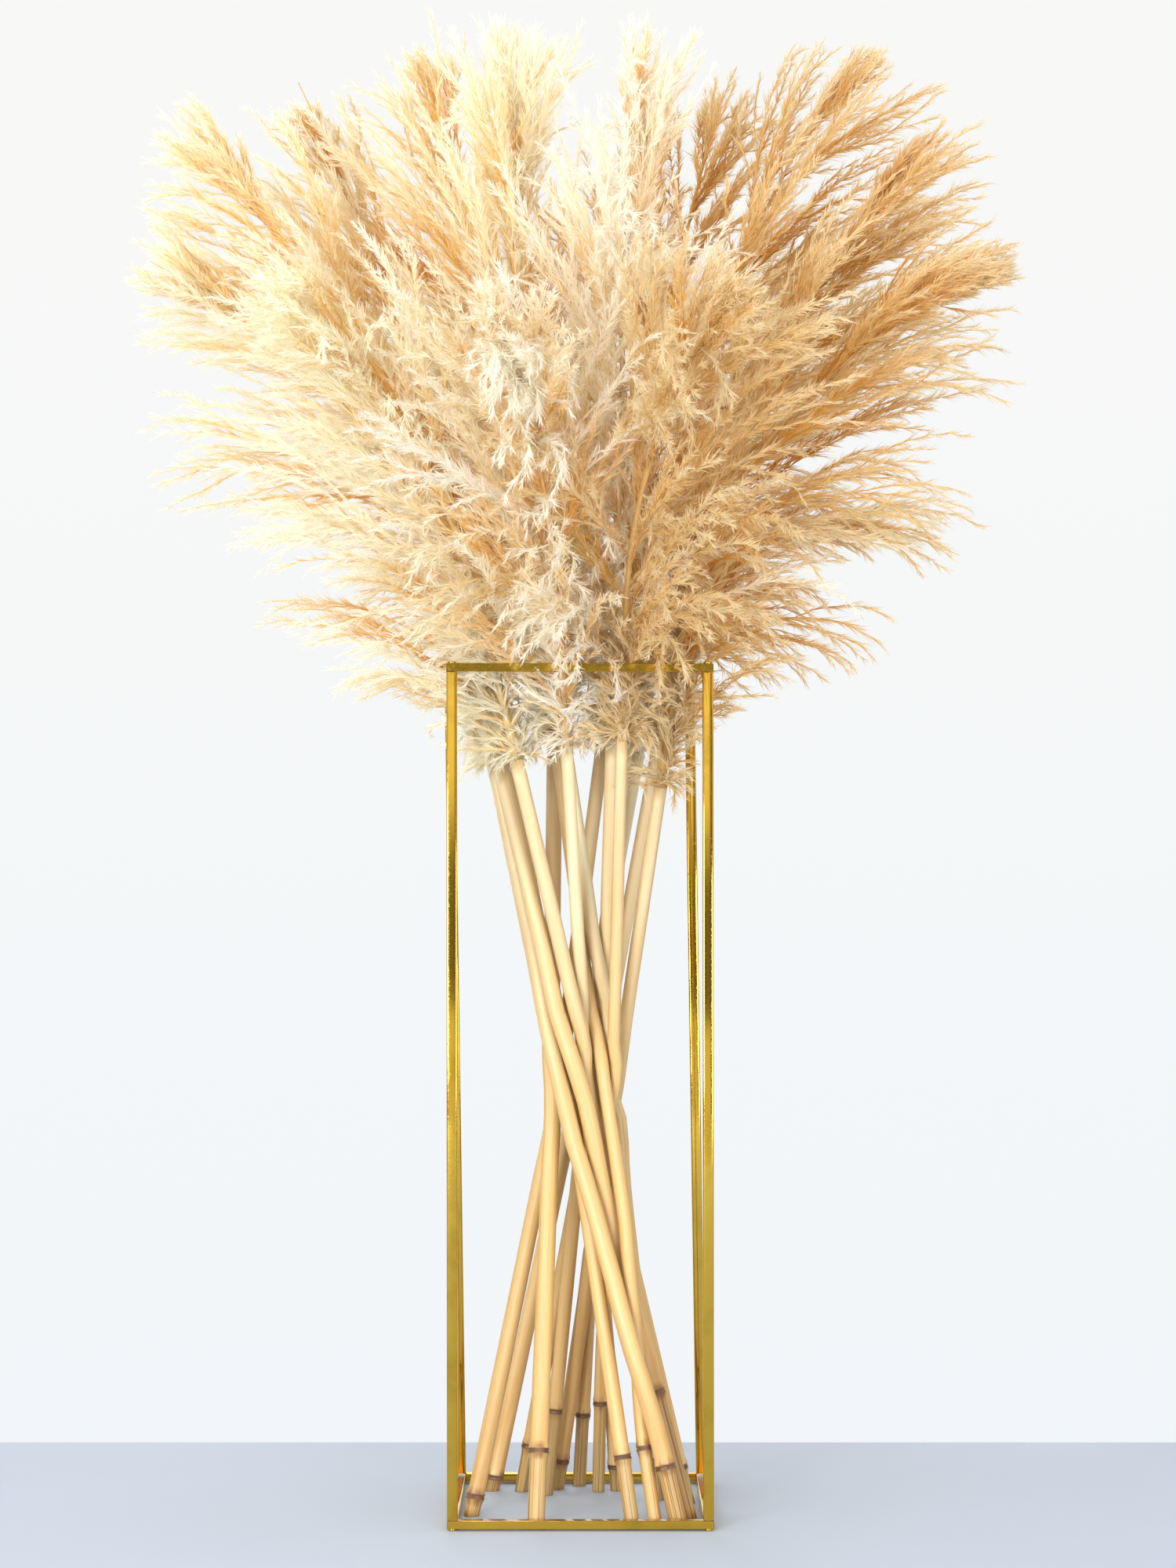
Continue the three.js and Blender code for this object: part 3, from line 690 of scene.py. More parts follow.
def plume_tree():
    """Geometry nodes that clothe branch lines with stalks and tufts of silky hairs."""
    tree, given = new_tree(
        "Plume hairs",
        [
            ("Hair", "Object", None),
            ("Hair Width", "Float", 0.0006),
            ("Hair Spacing", "Float", 0.0006),
            ("Hair Lean", "Float", 0.45),
            ("Hairs per Tuft", "Float", 7.0),
            ("Seed", "Int", 1),
            ("Material", "Material", None),
        ],
    )
    seed = given.outputs["Seed"]
    curves = output(tree, "GeometryNodeMeshToCurve", {0: given.outputs[0]})

    ring = add(tree, "GeometryNodeCurvePrimitiveCircle", {"Resolution": 3, "Radius": 1.0})
    corner = output(tree, "GeometryNodeInputIndex")
    profile = store(tree, ring.outputs[0], "hair_side", reckon(tree, "DIVIDE", corner, 3.0))
    feeds = {"Curve": curves, "Profile Curve": profile, "Scale": named(tree, "stalk")}
    stalks = output(tree, "GeometryNodeCurveToMesh", feeds)
    round_stalks = output(tree, "GeometryNodeSetShadeSmooth", {0: stalks})

    feeds = {"Curve": curves, "Length": given.outputs["Hair Spacing"]}
    spots = output(tree, "GeometryNodeResampleCurve", feeds, mode="LENGTH")
    index = output(tree, "GeometryNodeInputIndex")
    tuft = reckon(tree, "FLOOR", reckon(tree, "DIVIDE", index, given.outputs["Hairs per Tuft"]))
    tangent = output(tree, "GeometryNodeInputTangent")
    normal = output(tree, "GeometryNodeInputNormal")

    def luck(low, high, step, number=None):
        return chance(tree, low, high, reckon(tree, "ADD", seed, float(step)), number)

    tuft_turn = luck(0.0, math.tau, 0, tuft)
    own_turn = luck(-0.9, 0.9, 1)
    turn = reckon(tree, "ADD", tuft_turn, own_turn)
    feeds = {"Vector": normal, "Axis": tangent, "Angle": turn}
    side = output(tree, "ShaderNodeVectorRotate", feeds, rotation_type="AXIS_ANGLE")
    lean = times(tree, luck(0.8, 1.2, 3), named(tree, "lean"))
    lean = times(tree, luck(0.45, 1.35, 2, tuft), lean)
    lean = times(tree, lean, given.outputs["Hair Lean"])
    ahead = steer(tree, "SCALE", tangent, scale=reckon(tree, "COSINE", lean))
    aside = steer(tree, "SCALE", side, scale=reckon(tree, "SINE", lean))
    way = steer(tree, "ADD", ahead, aside)
    aligned = output(tree, "FunctionNodeAlignRotationToVector", {"Vector": way}, axis="Z")
    feeds = {"Axis": UP, "Angle": luck(0.0, math.tau, 4)}
    roll = output(tree, "FunctionNodeAxisAngleToRotation", feeds)
    feeds = {"Rotation": aligned, "Rotate By": roll}
    rotation = output(tree, "FunctionNodeRotateRotation", feeds, rotation_space="LOCAL")
    length = times(tree, named(tree, "hair"), luck(0.6, 1.2, 5))
    width = times(tree, given.outputs["Hair Width"], luck(0.7, 1.25, 0))
    size = output(tree, "ShaderNodeCombineXYZ", {0: width, 1: length, 2: length})
    hairy = output(
        tree, "FunctionNodeCompare", {"A": named(tree, "hair"), "B": SHORTEST_HAIR},
        data_type="FLOAT", operation="GREATER_THAN",
    )
    shape = add(tree, "GeometryNodeObjectInfo", {"Object": given.outputs["Hair"]})
    feeds = {
        "Points": spots, "Selection": hairy, "Instance": shape.outputs["Geometry"],
        "Rotation": rotation, "Scale": size,
    }
    hairs = output(tree, "GeometryNodeInstanceOnPoints", feeds)
    fleck = times(tree, luck(-1.0, 1.0, 6), FLECK)
    toned = store(
        tree, hairs, "shade", reckon(tree, "ADD", named(tree, "shade"), fleck), domain="INSTANCE"
    )
    joined = add(tree, "GeometryNodeJoinGeometry")
    tree.links.new(round_stalks, joined.inputs[0])
    tree.links.new(toned, joined.inputs[0])
    real = output(tree, "GeometryNodeRealizeInstances", {0: joined.outputs[0]})

    across = reckon(tree, "MULTIPLY_ADD", named(tree, "shade"), MAP_WIDTH, MAP_LEFT, clamp=True)
    across = reckon(tree, "MULTIPLY_ADD", named(tree, "hair_side"), HAIR_STRIP, across)
    upwards = reckon(tree, "MULTIPLY_ADD", named(tree, "along"), MAP_ALONG, MAP_FOOT)
    upwards = reckon(tree, "MULTIPLY_ADD", named(tree, "hair_rise"), MAP_RISE, upwards)
    place = output(tree, "ShaderNodeCombineXYZ", {0: across, 1: upwards})
    mapped = store(tree, real, PLUME_MAP, place, "FLOAT2", "CORNER")
    return close_tree(tree, given, mapped)


def plume_material(name, tint, sizes):
    """Silky dried plume: golden inside, straw in the middle and near white at the tips, with
    painted shade at the hair roots deep in the plume.
    """
    material, tree, out = new_material(name)
    place = output(tree, "ShaderNodeUVMap", uv_map=PLUME_MAP)
    parts = add(tree, "ShaderNodeSeparateXYZ", {0: place})
    shade, rise = parts.outputs[0], parts.outputs[1]

    def tinted(colour, gain=1.0):
        return opaque([c * t for c, t in zip(colour, tint)], gain)

    fleck = noise(tree, steer(tree, "MULTIPLY", place, MAP_GRAIN), 1.0, 3.0)
    toned = reckon(tree, "MULTIPLY_ADD", fleck, 0.5, reckon(tree, "ADD", shade, -0.25))
    deep = blend(tree, between(tree, toned, 0.10, 0.68), tinted(sizes.shade), tinted(sizes.straw))
    light = blend(tree, between(tree, toned, 0.45, 0.88), deep, tinted(sizes.cream))
    tips = times(tree, between(tree, rise, 0.30, 0.98), 0.88)
    silky = blend(tree, tips, light, tinted(sizes.cream, 1.04))
    # the hair roots turn towards the shade colour: partly the plume's own golden base, partly
    # painted shade deep inside the plume
    painted_root_shade = times(tree, between(tree, rise, 0.34, 0.0), 0.45)
    colour = blend(tree, painted_root_shade, silky, tinted(sizes.shade, 1.05))
    rough = between(tree, fleck, 0.0, 1.0, 0.62, 0.88)
    cloth = add(tree, "ShaderNodeBsdfPrincipled", {"Base Color": colour, "Roughness": rough})
    cloth.inputs["Specular IOR Level"].default_value = 0.3
    glow = add(tree, "ShaderNodeBsdfTranslucent", {"Color": colour})
    feeds = {0: LIGHT_THROUGH, 1: cloth.outputs[0], 2: glow.outputs[0]}
    tree.links.new(output(tree, "ShaderNodeMixShader", feeds), out.inputs[0])
    return material


class PAMPAS_OT_plumes(bpy.types.Operator):
    """Grows the fifteen plumes around their axes in the frame"""

    bl_idname = "pampas.plumes"
    bl_label = "Plumes"

    def execute(self, context):
        sizes = context.scene.pampas_plumes
        finishes = {
            key: plume_material(f"dried plume, {key}", tint, sizes) for key, tint in TINTS.items()
        }
        hair = in_scene("hair", hair_mesh())
        tree = plume_tree()
        for number in range(1, PLANT_COUNT + 1):
            label = f"plume_{number:02d}"
            piece = made_plain(
                f"feathery_{label}",
                plume_lines(number, sizes).mesh(label),
                tree,
                {
                    "Hair": hair,
                    "Hair Width": sizes.hair_width,
                    "Hair Spacing": sizes.hair_spacing,
                    "Hair Lean": sizes.hair_lean,
                    "Seed": HAIR_SEED * number,
                    "Material": finishes[HABITS[number].finish],
                },
            )
            settle(piece, "dried_plume", label)
        bpy.data.objects.remove(hair)
        return {"FINISHED"}


# ---- stems


# how far each stem goes from the plain colours to its palest top and its greyest foot
OWN_TONES = (0.2, 0.9, 0.4, 0.1, 0.6, 0.3, 0.5, 0.15, 0.8, 0.25, 0.0, 0.45, 1.0, 0.35, 0.55)
FOOT_SLIM = 0.93  # girth of the foot below its joint, as a share of the stem's girth
STEM_FACETS = 8  # facets around a stem's solid in the frame
STEM_SEED = 150
HOLLOW_STATIONS = 5  # the first stations, which lie in the hollow of the cut foot
JOINT_SWELL = (  # height from the joint and share that it adds to the girth
    (-0.0095, 0.0), (-0.0060, 0.05), (-0.0038, 0.14), (-0.0018, 0.21), (-0.0006, 0.12),
    (0.0002, 0.03), (0.0010, 0.06), (0.0024, 0.135), (0.0042, 0.10), (0.0068, 0.03),
    (0.0098, 0.0),
)
JOINT_REACH = 0.011  # no plain station lies closer to the joint than this
STEM_STATIONS = 34
JOINT_RINGS = (1, 2, 3)  # the solid's own rings at the joint, whose swell isn't used
LEVEL_FOOT = 0.02  # up to here the rings turn from level to square with the stem
TOP_TAPER = 0.55
GRAIN_RATE, GRAIN_STEP = 9.0, 3.7  # how the grain runs up a stem, and its shift from stem to stem
PALE_TOP = (0.72, 0.68, 0.46, 1.0)
BLEACHED_FOOT, GREY_FOOT = (0.50, 0.36, 0.14, 1.0), (0.25, 0.17, 0.075, 1.0)
JOINT_BROWN, JOINT_STAIN = (0.070, 0.024, 0.009, 1.0), (0.20, 0.085, 0.028, 1.0)


def stem_stations(number, sizes):
    """Stations from the hollow of the cut foot, over its rim and up to the plume."""
    label = f"stem_{number:02d}"
    lowest = min((v.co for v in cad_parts[label].data.vertices), key=lambda p: p.z)
    centres, radii = rings_of(label, STEM_FACETS, lowest)
    if not centres:
        raise RuntimeError(f"{label} has no rings")
    girth = radii[0] * FOOT_SLIM
    joint = centres[2].z
    heights = [c.z for c in centres]

    def centre_at(height):
        centre = point_along(heights, centres, height)
        centre.z = height
        return centre

    def girth_at(height):
        spots = [(h, r) for i, (h, r) in enumerate(zip(heights, radii)) if i not in JOINT_RINGS]
        slim = FOOT_SLIM if height < joint - 0.001 else 1.0
        return slim * float(np.interp(height, [h for h, _ in spots], [r for _, r in spots]))

    stations = []
    inner = girth - sizes.wall
    for height, radius in (
        (sizes.recess, 0.0), (sizes.recess, inner * 0.9), (sizes.recess - 0.001, inner),
        (0.0006, inner), (0.0, inner + 0.0003), (0.0, girth - 0.0004),
    ):
        stations.append((centre_at(height), radius))
    plain = [0.0004, 0.003] + list(np.linspace(0.008, heights[-1], STEM_STATIONS))
    spots = [(h, 0.0) for h in plain if abs(h - joint) > JOINT_REACH]
    spots += [(joint + gap, gain) for gap, gain in JOINT_SWELL if joint + gap > 0.0005]
    for height, gain in sorted(spots):
        stations.append((centre_at(height), girth_at(height) * (1 + gain)))
    stations.append((centre_at(heights[-1]), girth_at(heights[-1]) * TOP_TAPER))
    stations.append((centre_at(heights[-1]), 0.0))
    return stations, joint


def stem_mesh(number, sizes):
    """The stations of one stem with their girth and ways, for the wrap."""
    rng = np.random.default_rng(STEM_SEED + number)
    stations, joint = stem_stations(number, sizes)
    centres = [c for c, _ in stations]
    lean = (centres[-1] - centres[0]).normalized()
    turn = rng.uniform(0, math.tau)
    flat_side = Vector((math.cos(turn), math.sin(turn), 0.0))
    sides, crosses = [], []
    for centre, _ in stations:
        share = min(1.0, max(0.0, centre.z / LEVEL_FOOT))
        way = (lean * share + UP * (1 - share)).normalized()
        side = (flat_side - way * flat_side.dot(way)).normalized()
        sides.append(side)
        crosses.append(way.cross(side).normalized())
    heights = [c.z for c in centres]
    return base_mesh(
        f"stem_{number:02d}", centres,
        girth=[r for _, r in stations], side_way=sides, cross_way=crosses,
        from_joint=[h - joint for h in heights],
        own=[OWN_TONES[number - 1]] * len(heights),
        grain=[h * GRAIN_RATE + number * GRAIN_STEP for h in heights],
        inside=[float(i < HOLLOW_STATIONS) for i in range(len(heights))],
    )


def stem_tree():
    """Geometry nodes that wrap a closed skin around a stem's stations."""
    tree, given = new_tree("Reed skin", [("Sides", "Int", 28), ("Material", "Material", None)])
    line = given.outputs[0]
    count = output(tree, "GeometryNodeAttributeDomainSize", {0: line}, component="MESH")
    columns = reckon(tree, "ADD", given.outputs["Sides"], 1.0)
    feeds = {"Size X": 1.0, "Size Y": 1.0, "Vertices X": columns, "Vertices Y": count}
    sheet = output(tree, "GeometryNodeMeshGrid", feeds)
    index = output(tree, "GeometryNodeInputIndex")
    column = reckon(tree, "FLOOR", reckon(tree, "DIVIDE", reckon(tree, "ADD", index, 0.5), count))
    row = reckon(tree, "SUBTRACT", index, times(tree, column, count))
    row = reckon(tree, "ROUND", row)
    turn = times(tree, reckon(tree, "DIVIDE", column, given.outputs["Sides"]), math.tau)
    cosine, sine = reckon(tree, "COSINE", turn), reckon(tree, "SINE", turn)

    def sampled(value, kind):
        feeds = {"Geometry": line, "Value": value, "Index": row}
        return output(tree, "GeometryNodeSampleIndex", feeds, data_type=kind, domain="POINT")

    def read(name, kind="FLOAT"):
        return sampled(named(tree, name, kind), kind)

    side = steer(tree, "SCALE", read("side_way", "FLOAT_VECTOR"), scale=cosine)
    cross = steer(tree, "SCALE", read("cross_way", "FLOAT_VECTOR"), scale=sine)
    out = steer(tree, "SCALE", steer(tree, "ADD", side, cross), scale=read("girth"))
    centre = sampled(output(tree, "GeometryNodeInputPosition"), "FLOAT_VECTOR")
    skin = steer(tree, "ADD", centre, out)
    grain = output(tree, "ShaderNodeCombineXYZ", {0: cosine, 1: sine, 2: read("grain")})
    kept = store(tree, sheet, "grain_place", grain, "FLOAT_VECTOR")
    for name in ("from_joint", "inside", "own"):
        kept = store(tree, kept, name, read(name))
    placed = output(tree, "GeometryNodeSetPosition", {"Geometry": kept, "Position": skin})
    closed = output(tree, "GeometryNodeMergeByDistance", {"Geometry": placed, "Distance": 2e-6})
    smooth = output(tree, "GeometryNodeSetShadeSmooth", {0: closed})
    real = output(tree, "GeometryNodeRealizeInstances", {0: smooth})
    return close_tree(tree, given, real)


def stem_material(fibre, sizes):
    """Dry reed: pale under the plume, straw in the middle, weathered and streaked at the foot, with
    painted shade in the hollow of the cut foot.
    """
    material, tree, out = new_material("dried reed")

    def read(name, output_name="Fac"):
        return add(tree, "ShaderNodeAttribute", attribute_name=name).outputs[output_name]

    where = read("grain_place", "Vector")
    above, inside, own = read("from_joint"), read("inside"), read("own")
    fine = group_in(tree, fibre, Where=where, Fineness=7.0, Stretch=0.045)
    streak, blotch = fine.outputs["Streak"], fine.outputs["Blotch"]
    top = blend(tree, own, opaque(sizes.pale), PALE_TOP)
    body = blend(tree, times(tree, own, 0.4), opaque(sizes.straw), opaque(sizes.pale))
    pale = blend(tree, between(tree, above, 0.22, 0.66), body, top)
    blotched = blend(tree, times(tree, blotch, 0.45), pale, opaque(sizes.straw, 0.78))
    streaked = blend(tree, times(tree, streak, 0.5), blotched, opaque(sizes.pale, 1.18))
    low = between(tree, above, 0.20, -0.004, 0.0, 0.6)
    warm = blend(tree, times(tree, low, blotch), streaked, opaque(sizes.foot, 1.3))
    below = between(tree, above, 0.001, -0.002, 0.0, 1.0)
    bleached = blend(tree, own, BLEACHED_FOOT, GREY_FOOT)
    tan = blend(tree, times(tree, blotch, 0.5), bleached, opaque(sizes.foot, 1.6))
    browned = blend(tree, times(tree, below, 0.85), warm, tan)
    dark = between(tree, streak, 0.44, 0.14, 0.0, 0.9)
    scored = blend(tree, times(tree, dark, below), browned, opaque(sizes.foot, 0.36))
    ring = reckon(tree, "ABSOLUTE", reckon(tree, "ADD", above, -0.0002))
    band = between(tree, ring, 0.0034, 0.0015, 0.0, 0.96)
    ringed = blend(tree, band, scored, JOINT_BROWN)
    near = between(tree, ring, 0.011, 0.002, 0.0, 0.85)
    stained = blend(tree, times(tree, near, blotch), ringed, JOINT_STAIN)
    parts = add(tree, "ShaderNodeSeparateXYZ", {0: where})
    drift = reckon(tree, "SINE", times(tree, parts.outputs[2], 1.7))
    off = reckon(tree, "ABSOLUTE", reckon(tree, "MULTIPLY_ADD", drift, 0.12, parts.outputs[1]))
    front = between(tree, parts.outputs[0], 0.0, 0.1)
    wrapped = times(tree, between(tree, above, 0.0, 0.01), between(tree, above, 0.46, 0.40))
    edge = times(tree, between(tree, off, 0.085, 0.02), front)
    seam = times(tree, edge, wrapped)
    seamed = blend(tree, times(tree, seam, 0.6), stained, opaque(sizes.foot, 0.9))
    # painted shade: the hollow of the cut foot is darkened to a deep brown
    colour = blend(tree, inside, seamed, opaque(sizes.foot, 0.6))
    rough = between(tree, streak, 0.0, 1.0, 0.28, 0.46)
    relief = reckon(tree, "SUBTRACT", streak, seam)
    bump = add(tree, "ShaderNodeBump", {"Strength": 0.4, "Distance": 0.0004, "Height": relief})
    feeds = {"Base Color": colour, "Roughness": rough, "Normal": bump.outputs[0]}
    reed = add(tree, "ShaderNodeBsdfPrincipled", feeds)
    reed.inputs["Specular IOR Level"].default_value = 0.6
    tree.links.new(reed.outputs[0], out.inputs[0])
    return material


class PAMPAS_OT_stems(bpy.types.Operator):
    """Wraps the fifteen reed stems around their lines in the frame"""

    bl_idname = "pampas.stems"
    bl_label = "Stems"

    def execute(self, context):
        sizes = context.scene.pampas_stems
        finish = stem_material(fibre_group(), sizes)
        tree = stem_tree()
        for number in range(1, PLANT_COUNT + 1):
            label = f"stem_{number:02d}"
            values = {"Sides": sizes.sides, "Material": finish}
            piece = made_plain(f"reed_{label}", stem_mesh(number, sizes), tree, values)
            outwards(piece)
            settle(piece, "dried_stem", label)
        return {"FINISHED"}


def outwards(piece):
    """Turns every face of a closed piece outwards."""
    work = bmesh.new()
    work.from_mesh(piece.data)
    bmesh.ops.recalc_face_normals(work, faces=work.faces)
    work.to_mesh(piece.data)
    work.free()


# ---- stand


TUBE_COUNT = 12
SCREW_RISE = 0.0015  # height of a screw head
SCREW_FACETS = 24
SCREW_PROFILE = (  # share of the radius and of the height, from the underside to the socket's rim
    (0.96, -0.2), (1.0, 0.0), (1.0, 0.45), (0.93, 0.78), (0.74, 0.96), (0.56, 1.0),
)
SCREW_UNDERSIDE, SOCKET_FLOOR = -0.2, 0.25
SCREW_TURN = 1.05  # most that a head is turned, a sixth of a full turn


def gold_material(sizes):
    """Polished gold plate with faint waves, dust and dull spots."""
    material, tree, out = new_material("polished gold")
    where = add(tree, "ShaderNodeTexCoord").outputs["Object"]
    waves = noise(tree, steer(tree, "MULTIPLY", where, (1.0, 1.0, 0.35)), 34.0, 2.0)
    dust = noise(tree, where, 420.0, 3.0, 0.7)
    worn = between(tree, noise(tree, where, 22.0, 5.0, 0.6), 0.46, 0.72)
    colour = blend(tree, times(tree, worn, 0.6), opaque(sizes.gold), opaque(sizes.dull_gold))
    speck = between(tree, dust, 0.62, 0.74, 0.0, 0.5)
    dusted = blend(tree, speck, colour, opaque(sizes.gold, 1.25))
    rough = reckon(tree, "MULTIPLY_ADD", worn, 0.06, between(tree, dust, 0.4, 0.8, 0.07, 0.15))
    bump = add(tree, "ShaderNodeBump", {"Strength": 0.25, "Distance": 0.0006, "Height": waves})
    feeds = {"Base Color": dusted, "Roughness": rough, "Normal": bump.outputs[0], "Metallic": 1.0}
    gold = add(tree, "ShaderNodeBsdfPrincipled", feeds)
    tree.links.new(gold.outputs[0], out.inputs[0])
    return material


def gold_finish(sizes):
    """The stand's gold, made once."""
    return bpy.data.materials.get("polished gold") or gold_material(sizes)


def tube_piece(node, finish, edge):
    """A tube or bar of the stand with its cut ends eased and its faces smooth."""
    work = merged(node)
    bmesh.ops.dissolve_limit(
        work, angle_limit=math.radians(0.6), verts=work.verts, edges=work.edges
    )
    work.edges.index_update()
    ends = [f for f in work.faces if len(f.verts) > 6]
    rims = sorted({e for f in ends for e in f.edges}, key=lambda e: e.index)
    bmesh.ops.bevel(work, geom=rims, offset=edge, segments=2, affect="EDGES", profile=0.5)
    mesh = smooth_mesh(work, f"gold_{node}", 38)
    mesh.materials.append(finish)
    return in_scene(mesh.name, mesh)


class PAMPAS_OT_stand(bpy.types.Operator):
    """Makes the square tubes of the two rings and the four posts"""

    bl_idname = "pampas.stand"
    bl_label = "Stand"

    def execute(self, context):
        sizes = context.scene.pampas_stand
        finish = gold_finish(sizes)
        tubes = [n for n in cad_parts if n.endswith("_bar") or n.startswith("post_")]
        if len(tubes) != TUBE_COUNT:
            raise RuntimeError(f"the stand has {len(tubes)} tubes, not {TUBE_COUNT}")
        for node in sorted(tubes):
            settle(tube_piece(node, finish, sizes.edge), "gold_tube", node)
        return {"FINISHED"}


def screw_mesh(sizes, radius):
    """A low domed screw head with a hexagon socket, facing up, with its centre on the ground."""
    work = bmesh.new()
    turns = [math.tau * step / SCREW_FACETS for step in range(SCREW_FACETS)]

    def ring(reaches, height):
        height *= SCREW_RISE
        spots = [(r * math.cos(t), r * math.sin(t), height) for r, t in zip(reaches, turns)]
        return [work.verts.new(spot) for spot in spots]

    hexagon = [math.cos((t + math.pi / 6) % (math.pi / 3) - math.pi / 6) for t in turns]
    rings = [ring([radius * share] * SCREW_FACETS, height) for share, height in SCREW_PROFILE]
    for height, gain in ((1.0, 1.0), (0.35, 0.97)):
        rings.append(ring([sizes.socket * gain / flat for flat in hexagon], height))
    bottom = work.verts.new((0, 0, SCREW_RISE * SCREW_UNDERSIDE))
    floor = work.verts.new((0, 0, SCREW_RISE * SOCKET_FLOOR))
    for low, high in zip(rings, rings[1:]):
        for step in range(SCREW_FACETS):
            after = (step + 1) % SCREW_FACETS
            work.faces.new((low[step], low[after], high[after], high[step]))
    for step in range(SCREW_FACETS):
        after = (step + 1) % SCREW_FACETS
        work.faces.new((bottom, rings[0][after], rings[0][step]))
        work.faces.new((floor, rings[-1][step], rings[-1][after]))
    return smooth_mesh(work, "screw head", 35)


def screw_tree():
    """Geometry nodes that set a screw head on each mark, turned as the mark says."""
    inputs = [("Head", "Object", None), ("Material", "Material", None)]
    tree, given = new_tree("Screw heads", inputs)
    head = add(tree, "GeometryNodeObjectInfo", {"Object": given.outputs["Head"]})
    feeds = {"Vector": named(tree, "head_way", "FLOAT_VECTOR")}
    turned = output(tree, "FunctionNodeAlignRotationToVector", feeds, axis="Z")
    feeds = {"Axis": UP, "Angle": chance(tree, 0.0, SCREW_TURN, 5)}
    spin = output(tree, "FunctionNodeAxisAngleToRotation", feeds)
    feeds = {"Rotation": turned, "Rotate By": spin}
    rotation = output(tree, "FunctionNodeRotateRotation", feeds, rotation_space="LOCAL")
    feeds = {
        "Points": given.outputs[0], "Instance": head.outputs["Geometry"], "Rotation": rotation,
    }
    heads = output(tree, "GeometryNodeInstanceOnPoints", feeds)
    real = output(tree, "GeometryNodeRealizeInstances", {0: heads})
    return close_tree(tree, given, real)


class PAMPAS_OT_screws(bpy.types.Operator):
    """Sets the eight screw heads of the stand's corners"""

    bl_idname = "pampas.screws"
    bl_label = "Screws"

    def execute(self, context):
        sizes = context.scene.pampas_stand
        finish = gold_finish(sizes)
        tree = screw_tree()
        for level, sign in (("top", 1), ("bottom", -1)):
            nodes = sorted(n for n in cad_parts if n.startswith(f"screw_{level}_"))
            marks = []
            for node in nodes:
                low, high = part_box(node)
                radius = (high.x - low.x) / 2
                outer = high.z if sign > 0 else low.z
                height = outer - sign * SCREW_RISE
                marks.append(((low.x + high.x) / 2, (low.y + high.y) / 2, height))
            head = in_scene("head", screw_mesh(sizes, radius))
            base = base_mesh(f"{level} marks", marks, head_way=[UP * sign] * len(marks))
            values = {"Head": head, "Material": finish}
            piece = made_plain(f"{level}_screw_heads", base, tree, values)
            settle(piece, "screw", *nodes)
            bpy.data.objects.remove(head)
        return {"FINISHED"}


# ---- stage


FLOOR_THICKNESS = 0.03
UPPER_WALL = (0.94, 0.945, 0.93, 1.0)
ROOM_LIGHT = (1.0, 0.95, 0.87, 1.0)
LIGHTS = (  # name, place, the point it faces, width, power and colour
    ("key", (-1.45, -3.35, 0.92), (0, 0, 0.9), 1.5, 126.0, (1.0, 0.985, 0.96)),
    ("fill", (1.7, -3.0, 0.55), (0, 0, 0.95), 1.5, 56.0, (1.0, 1.0, 1.0)),
    ("back", (-0.9, 2.6, 2.5), (0, 0, 1.0), 2.0, 34.0, (1.0, 1.0, 1.0)),
)


def floor_material(sizes):
    """Matt painted board with faint cloudiness."""
    material, tree, out = new_material("pale floor")
    where = add(tree, "ShaderNodeTexCoord").outputs["Object"]
    cloud = noise(tree, where, 2.2, 3.0)
    colour = blend(tree, cloud, opaque(sizes.floor_colour, 0.96), opaque(sizes.floor_colour, 1.05))
    feeds = {"Base Color": colour, "Roughness": between(tree, cloud, 0.3, 0.7, 0.76, 0.86)}
    board = add(tree, "ShaderNodeBsdfPrincipled", feeds)
    board.inputs["Specular IOR Level"].default_value = 0.15
    tree.links.new(board.outputs[0], out.inputs[0])
    return material


def studio_world(sizes):
    """Near white walls to the eye; for light, a room of bright screens with a dark doorway."""
    world = bpy.data.worlds.new("soft studio")
    world.use_nodes = True
    tree = world.node_tree
    tree.nodes.clear()
    way = add(tree, "ShaderNodeTexCoord").outputs["Generated"]
    parts = add(tree, "ShaderNodeSeparateXYZ", {0: way})
    height = between(tree, parts.outputs[2], -0.25, 0.22)
    seen = blend(tree, height, opaque(sizes.wall_colour), UPPER_WALL)
    above = between(tree, parts.outputs[2], -0.5, 0.8, 0.65, 1.42)
    bands = reckon(tree, "COSINE", times(tree, parts.outputs[0], 9.0))
    screens = between(tree, bands, -0.6, 0.3, 0.22, 1.08)
    low_edge = between(tree, parts.outputs[2], 0.002, 0.035)
    high_edge = between(tree, parts.outputs[2], 0.30, 0.16)
    ahead = between(tree, parts.outputs[1], -0.86, -0.93)
    doorway = times(tree, times(tree, low_edge, high_edge), ahead)
    dimmed = reckon(tree, "MULTIPLY_ADD", doorway, -0.80, 1.0)
    level = times(tree, times(tree, above, screens), dimmed)
    room = add(tree, "ShaderNodeBackground", {"Color": ROOM_LIGHT, "Strength": level})
    wall = add(tree, "ShaderNodeBackground", {"Color": seen, "Strength": 1.0})
    direct = add(tree, "ShaderNodeLightPath").outputs["Is Camera Ray"]
    mixed = add(tree, "ShaderNodeMixShader", {0: direct, 1: room.outputs[0], 2: wall.outputs[0]})
    out = tree.nodes.new("ShaderNodeOutputWorld")
    tree.links.new(mixed.outputs[0], out.inputs[0])
    return world


def soft_light(name, place, target, width, power, colour):
    """A square softbox that faces a point."""
    light = bpy.data.lights.new(name, "AREA")
    light.shape, light.size, light.energy, light.color = "SQUARE", width, power, colour
    lamp = in_scene(name, light)
    lamp.location = place
    lamp.rotation_euler = (Vector(target) - Vector(place)).to_track_quat("-Z", "Y").to_euler()


